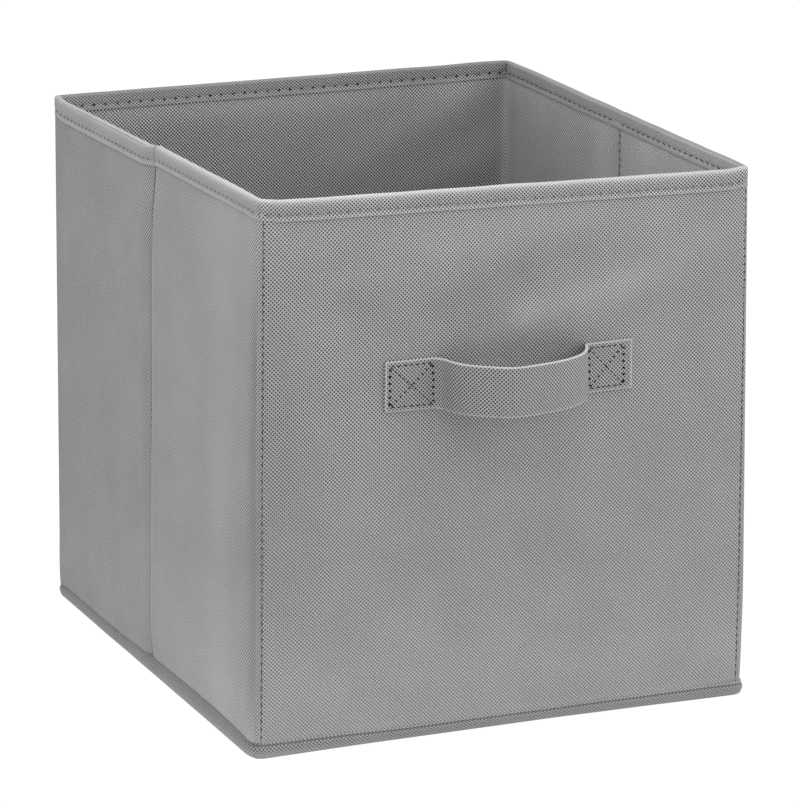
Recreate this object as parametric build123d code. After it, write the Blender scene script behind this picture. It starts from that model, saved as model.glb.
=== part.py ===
from build123d import *
import os

# Open-top storage bin of stiffened non-woven cloth with a strap handle on its front.
# Each wall is an outer cloth, a board and a lining, bound along the rim. The side walls
# are hinged at the corners and creased down the middle, so that they fold inwards and the
# back wall comes up to the front. A loose covered board lies in the base.
# Frame: X to the right, Y to the back, Z up. The origin is the middle of the base, on the floor.

# Driving dimensions, in millimetres
bin_width = 267.0
bin_depth = 267.0
bin_height = 279.0
cloth = 0.6
board = 2.0
thread = 0.2
thread_width = 0.6

# Rim binding: a cloth strip folded over the top of each wall
binding_height = 10.5
rim_stitch_drop = 8.0
stitch_end_margin = 1.0

# Seams down the corners and beside the side creases
corner_stitch_inset = 3.0
crease_stitch_inset = 2.0

# Rolled seam round the base
welt_height = 8.5
welt_proud = 1.2
welt_corner = 5.0
welt_round = 2.0

# Base insert
insert_play = 1.5
insert_seat_gap = 0.2

# Strap handle on the front wall
strap_width = 25.0
strap = 1.8
handle_drop = 97.0
grip_span = 84.0
strap_end_length = 26.0
arch_height = 28.0
loop_span = 66.0
box_stitch_inset = 2.3

# Clearances
corner_gap = 0.3
crease_gap = 0.6
welt_gap = 0.3
loop_gap = 0.3

# Worked out from the sizes above
wall = cloth + board + cloth
bound_wall = wall + cloth
bend = 1.6 * cloth
wall_top = bin_height - cloth
binding_bottom = bin_height - binding_height
rim_stitch_z = bin_height - rim_stitch_drop
front_bottom = welt_height
folding_bottom = welt_height + welt_gap
half_width = bin_width / 2
half_depth = bin_depth / 2
front_y = -half_depth
handle_z = bin_height - handle_drop
grip_edge = grip_span / 2
arch_radius = (grip_edge**2 + arch_height**2) / (2 * arch_height)

# A wall is drawn lying along X with its outer face on Y = 0 and its thickness towards +Y.
# These placements set it down on its side of the bin.
on_front = Location((0, -half_depth, 0), (0, 0, 0))
on_right = Location((half_width, 0, 0), (0, 0, 90))
on_back = Location((0, half_depth, 0), (0, 0, 180))
on_left = Location((-half_width, 0, 0), (0, 0, -90))

nodes = {}


def block(x_span, y_span, z_span):
    """A box between three pairs of limits."""
    spans = (x_span, y_span, z_span)
    middle = [(low + high) / 2 for low, high in spans]
    size = [high - low for low, high in spans]
    return Pos(*middle) * Box(*size)


def inset(span, margin):
    """The span with both ends drawn in by the margin."""
    return (span[0] + margin, span[1] - margin)


def wall_board(span, bottom):
    """The stiffening board, which fills the pocket of the outer cloth."""
    return block(inset(span, cloth), (cloth, cloth + board), (bottom + cloth, wall_top))


def outer_cloth(span, bottom, round_ends):
    """The outer cloth, turned in over the board's lower edge and its two ends."""
    skin = block(span, (0, cloth + board), (bottom, wall_top))
    if round_ends:
        corner_edges = skin.edges().filter_by(Axis.Z).group_by(Axis.Y)[0]
        skin = fillet(corner_edges, bend)
    return skin - wall_board(span, bottom)


def lining_cloth(span, bottom):
    """The flat cloth on the wall's inner face."""
    return block(span, (cloth + board, wall), (bottom, wall_top))


def rim_binding(span, cap):
    """The strip folded over the rim, with its ends closed where cap is a cloth thick."""
    strip = block(inset(span, -cap), (-cloth, bound_wall), (binding_bottom, bin_height))
    top_edges = strip.edges().filter_by(Axis.X).group_by(Axis.Z)[-1]
    strip = fillet(top_edges, bend)
    return strip - block(span, (0, wall), (binding_bottom, wall_top))


def rim_stitching(outer_span, inner_span):
    """The rows of thread on the two faces of the binding."""
    heights = (rim_stitch_z - thread_width / 2, rim_stitch_z + thread_width / 2)
    outer_row = block(outer_span, (-cloth - thread, -cloth), heights)
    inner_row = block(inner_span, (bound_wall, bound_wall + thread), heights)
    return Compound(children=[outer_row, inner_row])


def upright_row(x, y_span, bottom):
    """A row of thread up a wall, from its lower edge to the binding."""
    across = (x - thread_width / 2, x + thread_width / 2)
    return block(across, y_span, (bottom, binding_bottom))


def add_wall(name, place, span, bottom, inner_rim_span, cap):
    """Adds the five pieces of one wall or half wall, set down on its side of the bin."""
    nodes[f"{name}_outer_panel"] = place * outer_cloth(span, bottom, round_ends=cap > 0)
    nodes[f"{name}_board"] = place * wall_board(span, bottom)
    nodes[f"{name}_lining"] = place * lining_cloth(span, bottom)
    nodes[f"{name}_rim_binding"] = place * rim_binding(span, cap)
    rows = rim_stitching(inset(span, stitch_end_margin), inner_rim_span)
    nodes[f"{name}_rim_stitching"] = place * rows


def add_end_walls():
    """The front and back walls, which run the full width, with their corner seams."""
    span = (-half_width, half_width)
    inner_span = inset(span, bound_wall + corner_gap + stitch_end_margin)
    walls = {"front": (on_front, front_bottom), "back": (on_back, folding_bottom)}
    for name, (place, bottom) in walls.items():
        add_wall(name, place, span, bottom, inner_span, cloth)
        seams = [
            upright_row(side * (half_width - corner_stitch_inset), (-thread, 0), bottom)
            for side in (-1, 1)
        ]
        nodes[f"{name}_corner_stitching"] = place * Compound(children=seams)


def add_side_walls():
    """The two halves of each side wall, with the seam beside the crease on the rear half."""
    reach = half_depth - bound_wall - corner_gap
    forward_span = (-reach, -crease_gap / 2)
    backward_span = (crease_gap / 2, reach)
    halves = {
        "left_front": (on_left, backward_span),
        "left_rear": (on_left, forward_span),
        "right_front": (on_right, forward_span),
        "right_rear": (on_right, backward_span),
    }
    for name, (place, span) in halves.items():
        add_wall(name, place, span, folding_bottom, inset(span, stitch_end_margin), 0)
    for name, (place, side) in {"left": (on_left, -1), "right": (on_right, 1)}.items():
        seam_x = side * (crease_gap / 2 + crease_stitch_inset)
        rows = [
            upright_row(seam_x, faces, folding_bottom)
            for faces in ((-thread, 0), (wall, wall + thread))
        ]
        nodes[f"{name}_crease_stitching"] = place * Compound(children=rows)


def add_base():
    """The base cloth and the rolled seam that joins it to the walls."""
    inside = Rectangle(bin_width - 2 * wall, bin_depth - 2 * wall)
    outside = RectangleRounded(
        bin_width + 2 * welt_proud, bin_depth + 2 * welt_proud, welt_corner
    )
    ring = extrude(outside - inside, welt_height)
    levels = ring.faces().sort_by(Axis.Z)
    rims = levels[0].outer_wire().edges() + levels[-1].outer_wire().edges()
    nodes["base_welt"] = fillet(rims, welt_round)
    nodes["base_panel"] = extrude(inside, cloth)


def add_insert():
    """The loose board in the base, with cloth over its top and edges and under it."""
    reach_x = half_width - wall - insert_play
    reach_y = half_depth - wall - insert_play
    x_span = (-reach_x, reach_x)
    y_span = (-reach_y, reach_y)
    under = cloth + insert_seat_gap
    board_level = (under + cloth, under + cloth + board)
    core = block(inset(x_span, cloth), inset(y_span, cloth), board_level)
    cover = block(x_span, y_span, (board_level[0], board_level[1] + cloth))
    nodes["insert_board"] = core
    nodes["insert_top_cover"] = cover - core
    nodes["insert_bottom_cover"] = block(x_span, y_span, (under, under + cloth))


def box_stitching(middle_x):
    """A square of thread with its two diagonals, on one sewn end of the strap."""
    face = Plane((middle_x, front_y - strap, handle_z), x_dir=(1, 0, 0), z_dir=(0, -1, 0))
    length = strap_end_length - 2 * box_stitch_inset
    rise = strap_width - 2 * box_stitch_inset
    square = Rectangle(length, rise)
    frame = square - Rectangle(length - 2 * thread_width, rise - 2 * thread_width)
    diagonal = (length**2 + rise**2) ** 0.5
    slope = Vector(1, 0, 0).get_angle(Vector(length, rise, 0))
    crossing = Rot(0, 0, slope) * Rectangle(diagonal, thread_width)
    crossing += Rot(0, 0, -slope) * Rectangle(diagonal, thread_width)
    outline = frame + (crossing & square)
    return extrude(face * outline, thread)


def add_handle():
    """The strap: two sewn ends that rise off the wall and the arched loop between them."""
    heights = (handle_z - strap_width / 2, handle_z + strap_width / 2)
    ring = Circle(arch_radius + strap / 2) - Circle(arch_radius - strap / 2)
    middle_y = front_y + arch_radius - arch_height
    tube = Pos(0, middle_y, heights[0]) * extrude(ring, strap_width)
    furthest = front_y - arch_height - strap
    outside = (furthest, front_y)
    end_edge = grip_edge + strap_end_length
    loop_edge = loop_span / 2
    loop_reach = block((-loop_edge, loop_edge), outside, heights)
    nodes["handle_loop"] = tube & loop_reach
    for name, side in {"left": -1, "right": 1}.items():
        rise_span = sorted((side * (loop_edge + loop_gap), side * end_edge))
        patch_span = sorted((side * grip_edge, side * end_edge))
        riser = tube & block(rise_span, outside, heights)
        patch = block(patch_span, (front_y - strap, front_y), heights)
        nodes[f"handle_{name}_end"] = patch + riser
        nodes[f"handle_{name}_stitching"] = box_stitching(sum(patch_span) / 2)


add_end_walls()
add_side_walls()
add_base()
add_insert()
add_handle()

os.makedirs("parts", exist_ok=True)
for node, solid in nodes.items():
    export_step(solid, f"parts/{node}.step")
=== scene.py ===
import logging
import math
import random
from bisect import bisect_right
from dataclasses import dataclass, field
from enum import Enum
from functools import lru_cache
from typing import Callable, Iterable, Sequence

import bmesh
import bpy
from mathutils import Matrix, Vector, noise
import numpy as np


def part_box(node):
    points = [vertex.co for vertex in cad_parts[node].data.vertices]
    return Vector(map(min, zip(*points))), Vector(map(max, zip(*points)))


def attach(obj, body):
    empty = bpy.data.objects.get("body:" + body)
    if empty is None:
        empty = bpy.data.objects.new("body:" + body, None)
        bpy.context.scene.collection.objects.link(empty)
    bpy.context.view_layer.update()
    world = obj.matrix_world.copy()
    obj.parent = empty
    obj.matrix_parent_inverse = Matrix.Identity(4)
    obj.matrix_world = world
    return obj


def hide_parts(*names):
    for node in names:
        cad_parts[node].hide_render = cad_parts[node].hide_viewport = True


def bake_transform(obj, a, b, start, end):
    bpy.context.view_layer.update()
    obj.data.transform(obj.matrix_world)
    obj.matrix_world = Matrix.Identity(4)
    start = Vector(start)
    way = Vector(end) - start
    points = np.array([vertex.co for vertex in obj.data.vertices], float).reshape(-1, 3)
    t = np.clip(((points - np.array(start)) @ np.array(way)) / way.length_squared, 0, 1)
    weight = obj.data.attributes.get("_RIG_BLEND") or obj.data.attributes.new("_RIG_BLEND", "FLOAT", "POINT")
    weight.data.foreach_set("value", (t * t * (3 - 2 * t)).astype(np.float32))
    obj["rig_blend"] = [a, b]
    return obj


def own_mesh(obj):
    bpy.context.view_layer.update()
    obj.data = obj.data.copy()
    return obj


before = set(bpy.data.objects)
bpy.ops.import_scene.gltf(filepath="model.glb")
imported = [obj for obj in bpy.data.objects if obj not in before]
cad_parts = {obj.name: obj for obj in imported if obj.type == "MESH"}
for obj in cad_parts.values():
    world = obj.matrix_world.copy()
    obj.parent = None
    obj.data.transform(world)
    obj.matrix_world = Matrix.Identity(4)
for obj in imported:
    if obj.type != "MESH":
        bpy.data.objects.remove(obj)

LOG = logging.getLogger("fabric_bin")
MM = 0.001
BEND_STEPS = 24

Colour = tuple[float, float, float]
Place = Callable[[float, float], Vector]
Marks = Callable[[float, float], tuple[float, ...]]


def smooth_step(value: float) -> float:
    """Eases a value from 0 to 1 and holds it there outside that range."""
    held = min(max(value, 0.0), 1.0)
    return held * held * (3.0 - 2.0 * held)


def bell(distance: float, reach: float) -> float:
    """A bump of height 1 that fades out over about twice the reach."""
    return math.exp(-((distance / reach) ** 2))


def between(low: float, high: float, share: float) -> float:
    """The value that lies a share of the way from low to high."""
    return low + (high - low) * share


@lru_cache(maxsize=None)
def bend_lengths(first: float, second: float) -> tuple[float, ...]:
    """The lengths from the start of a smooth bend between two legs to even steps of its parameter."""
    lengths = [0.0]
    for step in range(BEND_STEPS):
        at = (step + 0.5) / BEND_STEPS
        lengths.append(lengths[-1] + math.hypot(first * (1 - at), second * at))
    return tuple(lengths)


def even_bend(first: float, second: float, share: float) -> float:
    """The parameter of a bend between two legs at a share of its length.

    Args:
        first: The length of the leg that it leaves.
        second: The length of the leg that it joins.
        share: The share of the bend's length.

    Returns:
        The parameter, from 0 to 1.
    """
    lengths = bend_lengths(first, second)
    sought = share * lengths[-1]
    index = min(max(bisect_right(lengths, sought), 1), BEND_STEPS)
    low, high = lengths[index - 1], lengths[index]
    return (index - 1 + (sought - low) / (high - low)) / BEND_STEPS


class Side(Enum):
    """The walls in the order that the perimeter meets them, from the front left corner."""

    FRONT = 0
    RIGHT = 1
    BACK = 2
    LEFT = 3

    @property
    def outward(self) -> Vector:
        """The wall's outward direction."""
        return (Vector((0, -1, 0)), Vector((1, 0, 0)), Vector((0, 1, 0)), Vector((-1, 0, 0)))[self.value]

    @property
    def travel(self) -> Vector:
        """The direction in which the perimeter runs along the wall."""
        return (Vector((1, 0, 0)), Vector((0, 1, 0)), Vector((-1, 0, 0)), Vector((0, -1, 0)))[self.value]

    @property
    def is_folding(self) -> bool:
        """Whether the wall is one of the two creased side walls."""
        return self in (Side.RIGHT, Side.LEFT)


@dataclass(frozen=True)
class BinSizes:
    """Main sizes of the bin, in metres, read from the frame."""

    width: float
    depth: float
    height: float
    cloth: float
    wall: float
    binding: float
    welt_height: float
    welt_proud: float

    @classmethod
    def from_frame(cls) -> "BinSizes":
        """Reads the sizes from the boxes of the frame's nodes.

        Returns:
            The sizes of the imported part.
        """
        outer_low, outer_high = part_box("front_outer_panel")
        lining_low, lining_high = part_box("front_lining")
        binding_low, binding_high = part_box("front_rim_binding")
        _, welt_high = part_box("base_welt")
        width = outer_high.x - outer_low.x
        return cls(
            width=width,
            depth=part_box("back_outer_panel")[1].y - outer_low.y,
            height=binding_high.z,
            cloth=lining_high.y - lining_low.y,
            wall=lining_high.y - outer_low.y,
            binding=binding_high.z - binding_low.z,
            welt_height=welt_high.z,
            welt_proud=welt_high.x - width / 2,
        )


@dataclass(frozen=True)
class Band:
    """A soft band on a piece, with its middle and its reach in millimetres."""

    strength: float
    middle: float
    reach: float

    def at(self, distance: float) -> float:
        """The band's strength at a distance."""
        return self.strength * bell(distance - self.middle * MM, self.reach * MM)


@dataclass(frozen=True)
class Spot:
    """A soft spot on a wall: its middle and its reach along the wall and below the rim, in millimetres."""

    strength: float
    along: tuple[float, float]
    drop: tuple[float, float]

    def at(self, along: float, drop: float) -> float:
        """The spot's strength at a place of the wall."""
        return Band(self.strength, *self.along).at(along) * Band(1.0, *self.drop).at(drop)


@dataclass(frozen=True)
class PullFold:
    """A fold that the strap draws in the front wall, between two spots given as along and drop.

    The lengths are in millimetres. The tone is painted light on a ridge above 0 and painted shade in a
    hollow below 0.
    """

    start: tuple[float, float]
    end: tuple[float, float]
    reach: float
    height: float
    tone: float

    def near(self, along: float, drop: float) -> float:
        """How near a place of the wall is to the fold: 1 on its line, 0 well away from it."""
        start, way = Vector(self.start), Vector(self.end) - Vector(self.start)
        spot = Vector((along, drop)) / MM - start
        share = min(max(spot.dot(way) / way.length_squared, 0.0), 1.0)
        return bell((spot - way * share).length, self.reach)


PULL_FOLDS = (
    PullFold((8, 67), (62, 54), 8, 0.7, 0.13),
    PullFold((62, 54), (108, 36), 9, 0.4, 0.10),
    PullFold((-42, 60), (6, 44), 9, -0.8, -0.12),
    PullFold((6, 44), (50, 29), 7, -0.4, -0.05),
    PullFold((-45, 30), (45, 18), 9, 0.3, 0.08),
    PullFold((-88, 52), (-40, 84), 7, -0.5, -0.09),
    PullFold((-14, 77), (8, 67), 8, 0.3, 0.13),
    PullFold((44, 84), (75, 64), 7, -0.3, -0.06),
    PullFold((-92, 42), (-62, 40), 7, 0.2, 0.08),
)
PULL_RISE = Spot(0.7, (-40, 55), (135, 30))
PULL_TUCK = Spot(-0.9, (5, 46), (87, 8))


@dataclass(frozen=True)
class ShellShape:
    """The soft shape of the walls: where the cloth lies for a place on the perimeter and a height."""

    sizes: BinSizes
    rim_turn: float = 2.6 * MM
    loose_rim_turn: float = 6.5 * MM
    foot_turn: float = 3.0 * MM
    broad_rim_side: float = 7.0 * MM
    broad_slack_side: float = 25.0 * MM
    broad_flat: float = 0.5
    slack_pull: float = 6.0 * MM
    foot_belly: float = 0.15 * MM
    foot_tuck: float = 0.15 * MM
    foot_level: float = 7.8 * MM
    foot_rise: float = 3.6 * MM
    foot_corner: float = 1.5 * MM
    corner_tuck: float = 1.3 * MM
    pillow: float = 1.2 * MM
    wave: float = 0.9 * MM
    ripple: float = 0.35 * MM
    wave_length: float = 90.0 * MM
    edge_fade: float = 26.0 * MM
    crease_depth: float = 3.3 * MM
    right_crease_depth: float = 1.0 * MM
    crease_rear_reach: float = 17.0 * MM
    crease_front_reach: float = 1.2 * MM
    crease_foot_share: float = 0.55
    crease_sewn: tuple[float, float] = (1.7 * MM, 3.6 * MM)
    crease_shift: float = 2.4 * MM
    crease_slant: float = 2.2 * MM
    right_crease_shift: float = -0.6 * MM
    left_bow: float = 1.0 * MM
    left_seam: tuple[float, float] = (4.4 * MM, 3.0 * MM)
    right_seam: tuple[float, float] = (4.5 * MM, 1.4 * MM)
    back_seam: float = 3.0 * MM
    seam_depth: float = 0.25 * MM
    seam_reach: float = 0.8 * MM
    rim_wave: float = 0.35 * MM
    rim_edge_fade: float = 14.0 * MM
    rim_crease_bump: float = 0.15 * MM
    front_rim_dip: float = 1.3 * MM
    rear_rim_dip: float = 1.8 * MM
    outer_leg: tuple[float, float] = (10.3 * MM, 7.2 * MM)
    left_leg: tuple[float, float] = (9.5 * MM, 6.5 * MM)
    inner_leg: tuple[float, float] = (9.3 * MM, 6.2 * MM)
    fold_height: float = 0.4 * MM
    fold_slope: float = 0.42
    fold_start: float = -1.0 * MM
    fold_pitch: float = 36.0 * MM

    @property
    def perimeter(self) -> float:
        """The length once round the walls."""
        return 2 * (self.sizes.width + self.sizes.depth)

    def corner(self, index: int) -> float:
        """The perimeter place of a corner: 0 front left, 1 front right, 2 rear right, 3 rear left."""
        width, depth = self.sizes.width, self.sizes.depth
        return (0.0, width, width + depth, 2 * width + depth)[index]

    def middle(self, side: Side) -> float:
        """The perimeter place of the middle of a wall."""
        return self.corner(side.value) + self.side_length(side) / 2

    def side_length(self, side: Side) -> float:
        """The length of a wall along the perimeter."""
        return self.sizes.depth if side.is_folding else self.sizes.width

    def to_edge(self, side: Side, along: float) -> float:
        """The distance from a place to the nearer end of its wall."""
        return self.side_length(side) / 2 - abs(along)

    def nominal(self, place: float) -> tuple[Vector, Side, float]:
        """Finds a perimeter place on the sharp rectangle of the outer faces.

        Args:
            place: Distance round the perimeter from the front left corner.

        Returns:
            The point on the floor, its wall, and its distance past the middle of that wall.
        """
        left = place % self.perimeter
        side = Side.FRONT
        for side in Side:
            if left <= self.side_length(side):
                break
            left -= self.side_length(side)
        along = left - self.side_length(side) / 2
        reach = self.sizes.width / 2 if side.is_folding else self.sizes.depth / 2
        return side.outward * reach + side.travel * along, side, along

    def edge_share(self, side: Side, along: float, height: float) -> float:
        """How far a place is from the edges of its wall: 0 on an edge, 1 well inside."""
        room = min(
            self.to_edge(side, along),
            height - self.sizes.welt_height,
            self.sizes.height - self.sizes.binding - height,
        )
        return smooth_step(room / self.edge_fade)

    def seam_inset(self, side: Side, along: float, height: float) -> float:
        """How far the nearest corner seam of a front or back wall stands from the corner."""
        if side is not Side.FRONT:
            return self.back_seam
        return between(*(self.left_seam if along < 0 else self.right_seam), height / self.sizes.height)

    def crease_distance(self, side: Side, along: float, height: float) -> float:
        """Distance of a place from its wall's slanting crease, above 0 towards the back of the bin."""
        shift = self.crease_shift + self.crease_slant * height / self.sizes.height
        if side is Side.RIGHT:
            shift += self.right_crease_shift
        return (along if side is Side.RIGHT else -along) + shift

    def crease_dip(self, side: Side, along: float, height: float) -> float:
        """How far the outer cloth is drawn in beside the crease of a folding wall."""
        if not side.is_folding:
            return 0.0
        distance = self.crease_distance(side, along, height)
        share = between(self.crease_foot_share, 1.0, height / self.sizes.height)
        reach = self.crease_rear_reach * share if distance > 0 else self.crease_front_reach
        near = max(1.0 - abs(distance) / reach, 0.0)
        depth = self.right_crease_depth if side is Side.RIGHT else self.crease_depth
        return depth * share * near**1.6

    def crease_painted_shade(self, side: Side, along: float, height: float) -> float:
        """The painted shade of a crease's gap, along the sewn line behind it, strongest under the rim."""
        if not side.is_folding:
            return 0.0
        distance = self.crease_distance(side, along, height)
        if side is Side.RIGHT:
            return 0.35 * bell(distance - 1.0 * MM, 0.8 * MM)
        share = height / self.sizes.height
        dark = between(0.3, 0.5, smooth_step(1.4 * share - 0.4)) + 0.45 * smooth_step(6.0 * share - 4.9)
        return dark * bell(distance - between(*self.crease_sewn, share), 1.0 * MM)

    def bow(self, side: Side, along: float, height: float) -> float:
        """How far the left wall bends inwards between its corners, towards the rim."""
        if side is not Side.LEFT:
            return 0.0
        middle = 1.0 - (2 * along / self.side_length(side)) ** 2
        return self.left_bow * middle * (height / self.sizes.height) ** 2

    def handle_pull(self, along: float, height: float) -> float:
        """The folds over the strap handle, the tuck behind it and the slight rise below it."""
        drop = self.sizes.height - height
        folds = sum(fold.height * fold.near(along, drop) for fold in PULL_FOLDS)
        return (PULL_RISE.at(along, drop) + PULL_TUCK.at(along, drop) + folds) * MM

    def painted_pull_tone(self, along: float, height: float) -> float:
        """The painted light on the front wall's fold ridges, below 0 for painted shade in their hollows."""
        return sum(fold.tone * fold.near(along, self.sizes.height - height) for fold in PULL_FOLDS)

    def swell(self, side: Side, along: float, height: float) -> float:
        """How far the outer cloth stands off the flat wall.

        Args:
            side: The wall.
            along: Distance past the middle of the wall.
            height: Height over the floor.

        Returns:
            The distance, in metres, outwards.
        """
        spot = Vector((along / self.wave_length, height / self.wave_length, 7.3 * side.value))
        share = self.edge_share(side, along, height)
        soft = self.pillow + self.wave * noise.noise(spot) + self.ripple * noise.noise(spot * 3.1)
        if side is Side.FRONT:
            soft += self.handle_pull(along, height)
        if side.is_folding:
            gather = Vector((along / (17 * MM), height / (120 * MM), 3.0))
            soft += 0.9 * MM * noise.noise(gather) * bell(height - 20 * MM, 60 * MM)
        seam = 0.0
        if not side.is_folding:
            to_seam = self.to_edge(side, along) - self.seam_inset(side, along, height)
            seam = self.seam_depth * bell(to_seam, self.seam_reach)
        drawn = self.crease_dip(side, along, height) + self.bow(side, along, height) + seam
        if (side is Side.FRONT and along > 0) or (side is Side.RIGHT and along < 0):
            above = height - self.sizes.welt_height
            drawn += self.corner_tuck * bell(above, 30 * MM) * bell(self.to_edge(side, along), 12 * MM)
        return share * soft + self.foot_roll(side, along, height) - drawn

    def turn(self, place: float, height: float) -> tuple[float, float, float]:
        """How far a corner's rounding reaches along the front or back wall, and along the side wall.

        The front left corner is the slack one, most of all in its lower half.

        Args:
            place: Distance round the perimeter.
            height: Height over the floor.

        Returns:
            The two lengths, and how flat the rounding is: 0 for a full bend, 1 for a straight cut.
        """
        flat, _, _ = self.nominal(place)
        drop = max(1.0 - height / self.sizes.height, 0.0)
        if flat.y > 0 or flat.x > 0:
            rim = self.loose_rim_turn if flat.x > 0 and flat.y > 0 else self.rim_turn
            reach = between(rim, self.foot_turn, drop)
            return reach, reach, 0.0
        across = self.seam_inset(Side.FRONT, -self.sizes.width / 2, height)
        slack = smooth_step((drop - 0.38) / 0.35) * smooth_step((0.98 - drop) / 0.18)
        return across, between(self.broad_rim_side, self.broad_slack_side, slack), self.broad_flat * slack

    def foot_height(self, side: Side, along: float) -> float:
        """The height of the welt's upper edge, which rises towards the front left corner."""
        share = 0.5 + along / self.side_length(side)
        if side is Side.LEFT:
            fall = (self.foot_rise - self.foot_corner) * smooth_step((share - 0.82) / 0.18)
            return self.foot_level + self.foot_rise * smooth_step((share - 0.25) / 0.45) - fall
        if side is Side.FRONT:
            return between(self.foot_level + self.foot_corner, self.foot_level, smooth_step(share / 0.3))
        return self.foot_level

    def foot_roll(self, side: Side, along: float, height: float) -> float:
        """How far the cloth bellies out over the welt and tucks in where it is sewn to it."""
        above = height - self.foot_height(side, along)
        return self.foot_belly * bell(above - 14 * MM, 9 * MM) - self.foot_tuck * bell(above, 4 * MM)

    def rounded(
        self, place: float, across: float, along: float, flatness: float = 0.0
    ) -> tuple[Vector, Vector]:
        """Finds a perimeter place on the rectangle with its corners rounded off.

        Args:
            place: Distance round the perimeter.
            across: Reach of the rounding along the front and back walls.
            along: Reach of the rounding along the side walls.
            flatness: Share by which the bend is drawn to a straight cut.

        Returns:
            The point on the floor and the outward direction there.
        """
        flat, side, _ = self.nominal(place)
        half = Vector((self.sizes.width / 2, self.sizes.depth / 2))
        past = Vector((abs(flat.x) - half.x + across, abs(flat.y) - half.y + along))
        if past.x <= 0 or past.y <= 0:
            return flat, side.outward
        gone = past.y if side.is_folding else along + across - past.x
        share = gone / (along + across)
        bend = between(even_bend(along, across, share), share, flatness)
        inwards = between(bend**2, bend, flatness)
        onwards = between((1 - bend) ** 2, 1 - bend, flatness)
        signs = Vector((math.copysign(1, flat.x), math.copysign(1, flat.y)))
        point = Vector((signs.x * (half.x - across * inwards), signs.y * (half.y - along * onwards), 0))
        leaving, joining = between(1 - bend, 0.5, flatness), between(bend, 0.5, flatness)
        outward = Vector((signs.x * along * leaving, signs.y * across * joining, 0))
        return point, outward.normalized()

    def outer(self, place: float, height: float, lift: float = 0.0) -> Vector:
        """A point on the outer cloth.

        Args:
            place: Distance round the perimeter.
            height: Height over the floor.
            lift: Further distance outwards.

        Returns:
            The point.
        """
        _, side, along = self.nominal(place)
        flat, outward = self.rounded(place, *self.turn(place, height))
        off = self.swell(side, along, height) + lift
        return flat + outward * off + Vector((0, 0, height))

    def inner(self, place: float, height: float, lift: float = 0.0) -> Vector:
        """A point on the lining, with lift towards the inside of the bin."""
        flat, side, along = self.nominal(place)
        half = Vector((self.sizes.width / 2 - self.sizes.wall, self.sizes.depth / 2 - self.sizes.wall))
        room = self.side_length(side) / 2 - self.sizes.wall
        spot = Vector((along / self.wave_length, height / self.wave_length, 7.3 * side.value + 40))
        share = smooth_step((room - abs(along)) / self.edge_fade)
        soft = share * self.ripple * (1.0 + 1.6 * noise.noise(spot * 1.7))
        if side is Side.BACK:
            soft += self.lining_folds(room + along, self.sizes.height - height)
        if side.is_folding:
            soft += 0.07 * self.crease_depth * bell(self.crease_distance(side, along, height), 5.0 * MM)
        if (side is Side.LEFT and along > 0) or (side is Side.FRONT and along < 0):
            soft += self.slack_pull * self.turn(place, height)[2] * bell(room - abs(along), 7 * MM)
        into = lift + soft + self.bow(side, along, height)
        point = Vector((
            min(max(flat.x, -half.x), half.x),
            min(max(flat.y, -half.y), half.y),
            height,
        ))
        inward = -side.outward
        if abs(along) > room:
            inward = Vector((-math.copysign(1, flat.x), -math.copysign(1, flat.y), 0))
        return point + inward * into

    def lining_folds(self, from_corner: float, drop: float) -> float:
        """The slanting folds of the back lining beside the rear right corner."""
        slant = (drop - self.fold_slope * from_corner - self.fold_start) / self.fold_pitch
        near = smooth_step(from_corner / (6 * MM)) * bell(from_corner - 25 * MM, 75 * MM)
        return self.fold_height * (1.0 + math.sin(math.tau * slant)) * near * bell(drop - 45 * MM, 55 * MM)

    def binding_leg(self, place: float, inside: bool) -> tuple[float, float]:
        """How far the binding hangs below the rim on one of its faces, and where its stitches are.

        Args:
            place: Distance round the perimeter.
            inside: Whether the face is the one inside the bin.

        Returns:
            The two depths below the rim.
        """
        if inside:
            return self.inner_leg
        _, side, along = self.nominal(place)
        if side is not Side.LEFT:
            return self.outer_leg
        forward = smooth_step(-self.crease_distance(side, along, self.sizes.height) / (5 * MM))
        edge = smooth_step(self.to_edge(side, along) / self.rim_edge_fade)
        return tuple(between(*legs, forward * edge) for legs in zip(self.outer_leg, self.left_leg))

    def rim_height(self, place: float) -> float:
        """The height of the rim, which waves a little and rises at the creases."""
        _, side, along = self.nominal(place)
        spot = Vector((3.0 * place / self.wave_length, 5.1, 0.0))
        bump = 0.0
        if side.is_folding:
            distance = self.crease_distance(side, along, self.sizes.height)
            high = self.rim_crease_bump * (0.4 if side is Side.RIGHT else 1.0)
            bump = high * bell(distance, (2.5 if distance > 0 else 4.0) * MM)
        edge = smooth_step(self.to_edge(side, along) / self.rim_edge_fade)
        if side is Side.FRONT:
            bump -= self.front_rim_dip * edge
        if side is Side.LEFT:
            bump -= self.rear_rim_dip * edge * smooth_step(distance / (22 * MM) + 0.25)
        return self.sizes.height + self.rim_wave * noise.noise(spot) + bump


@dataclass(frozen=True)
class Lean:
    """How the soft bin stands a little out of square: each corner's offset, spread over the whole.

    The offsets are in millimetres, in the order of the corners round the perimeter.
    """

    sizes: BinSizes

    FOOT = (
        Vector((1.2, 0.2, 0.0)),
        Vector((6.0, -4.0, -0.8)),
        Vector((3.0, 1.5, 0.6)),
        Vector((0.8, 0.6, 1.6)),
    )
    RIM = (
        Vector((0.4, 0.7, 0.9)),
        Vector((-2.9, 0.4, -2.7)),
        Vector((-1.4, 1.6, 0.5)),
        Vector((-1.9, 0.2, -1.2)),
    )

    def at(self, point: Vector) -> Vector:
        """The offset at a point of the square bin."""
        across = point.x / self.sizes.width + 0.5
        back = point.y / self.sizes.depth + 0.5
        up = point.z / self.sizes.height
        levels = []
        for front_left, front_right, rear_right, rear_left in (self.FOOT, self.RIM):
            front, rear = front_left.lerp(front_right, across), rear_left.lerp(rear_right, across)
            levels.append(front.lerp(rear, back))
        return levels[0].lerp(levels[1], up) * MM


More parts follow.
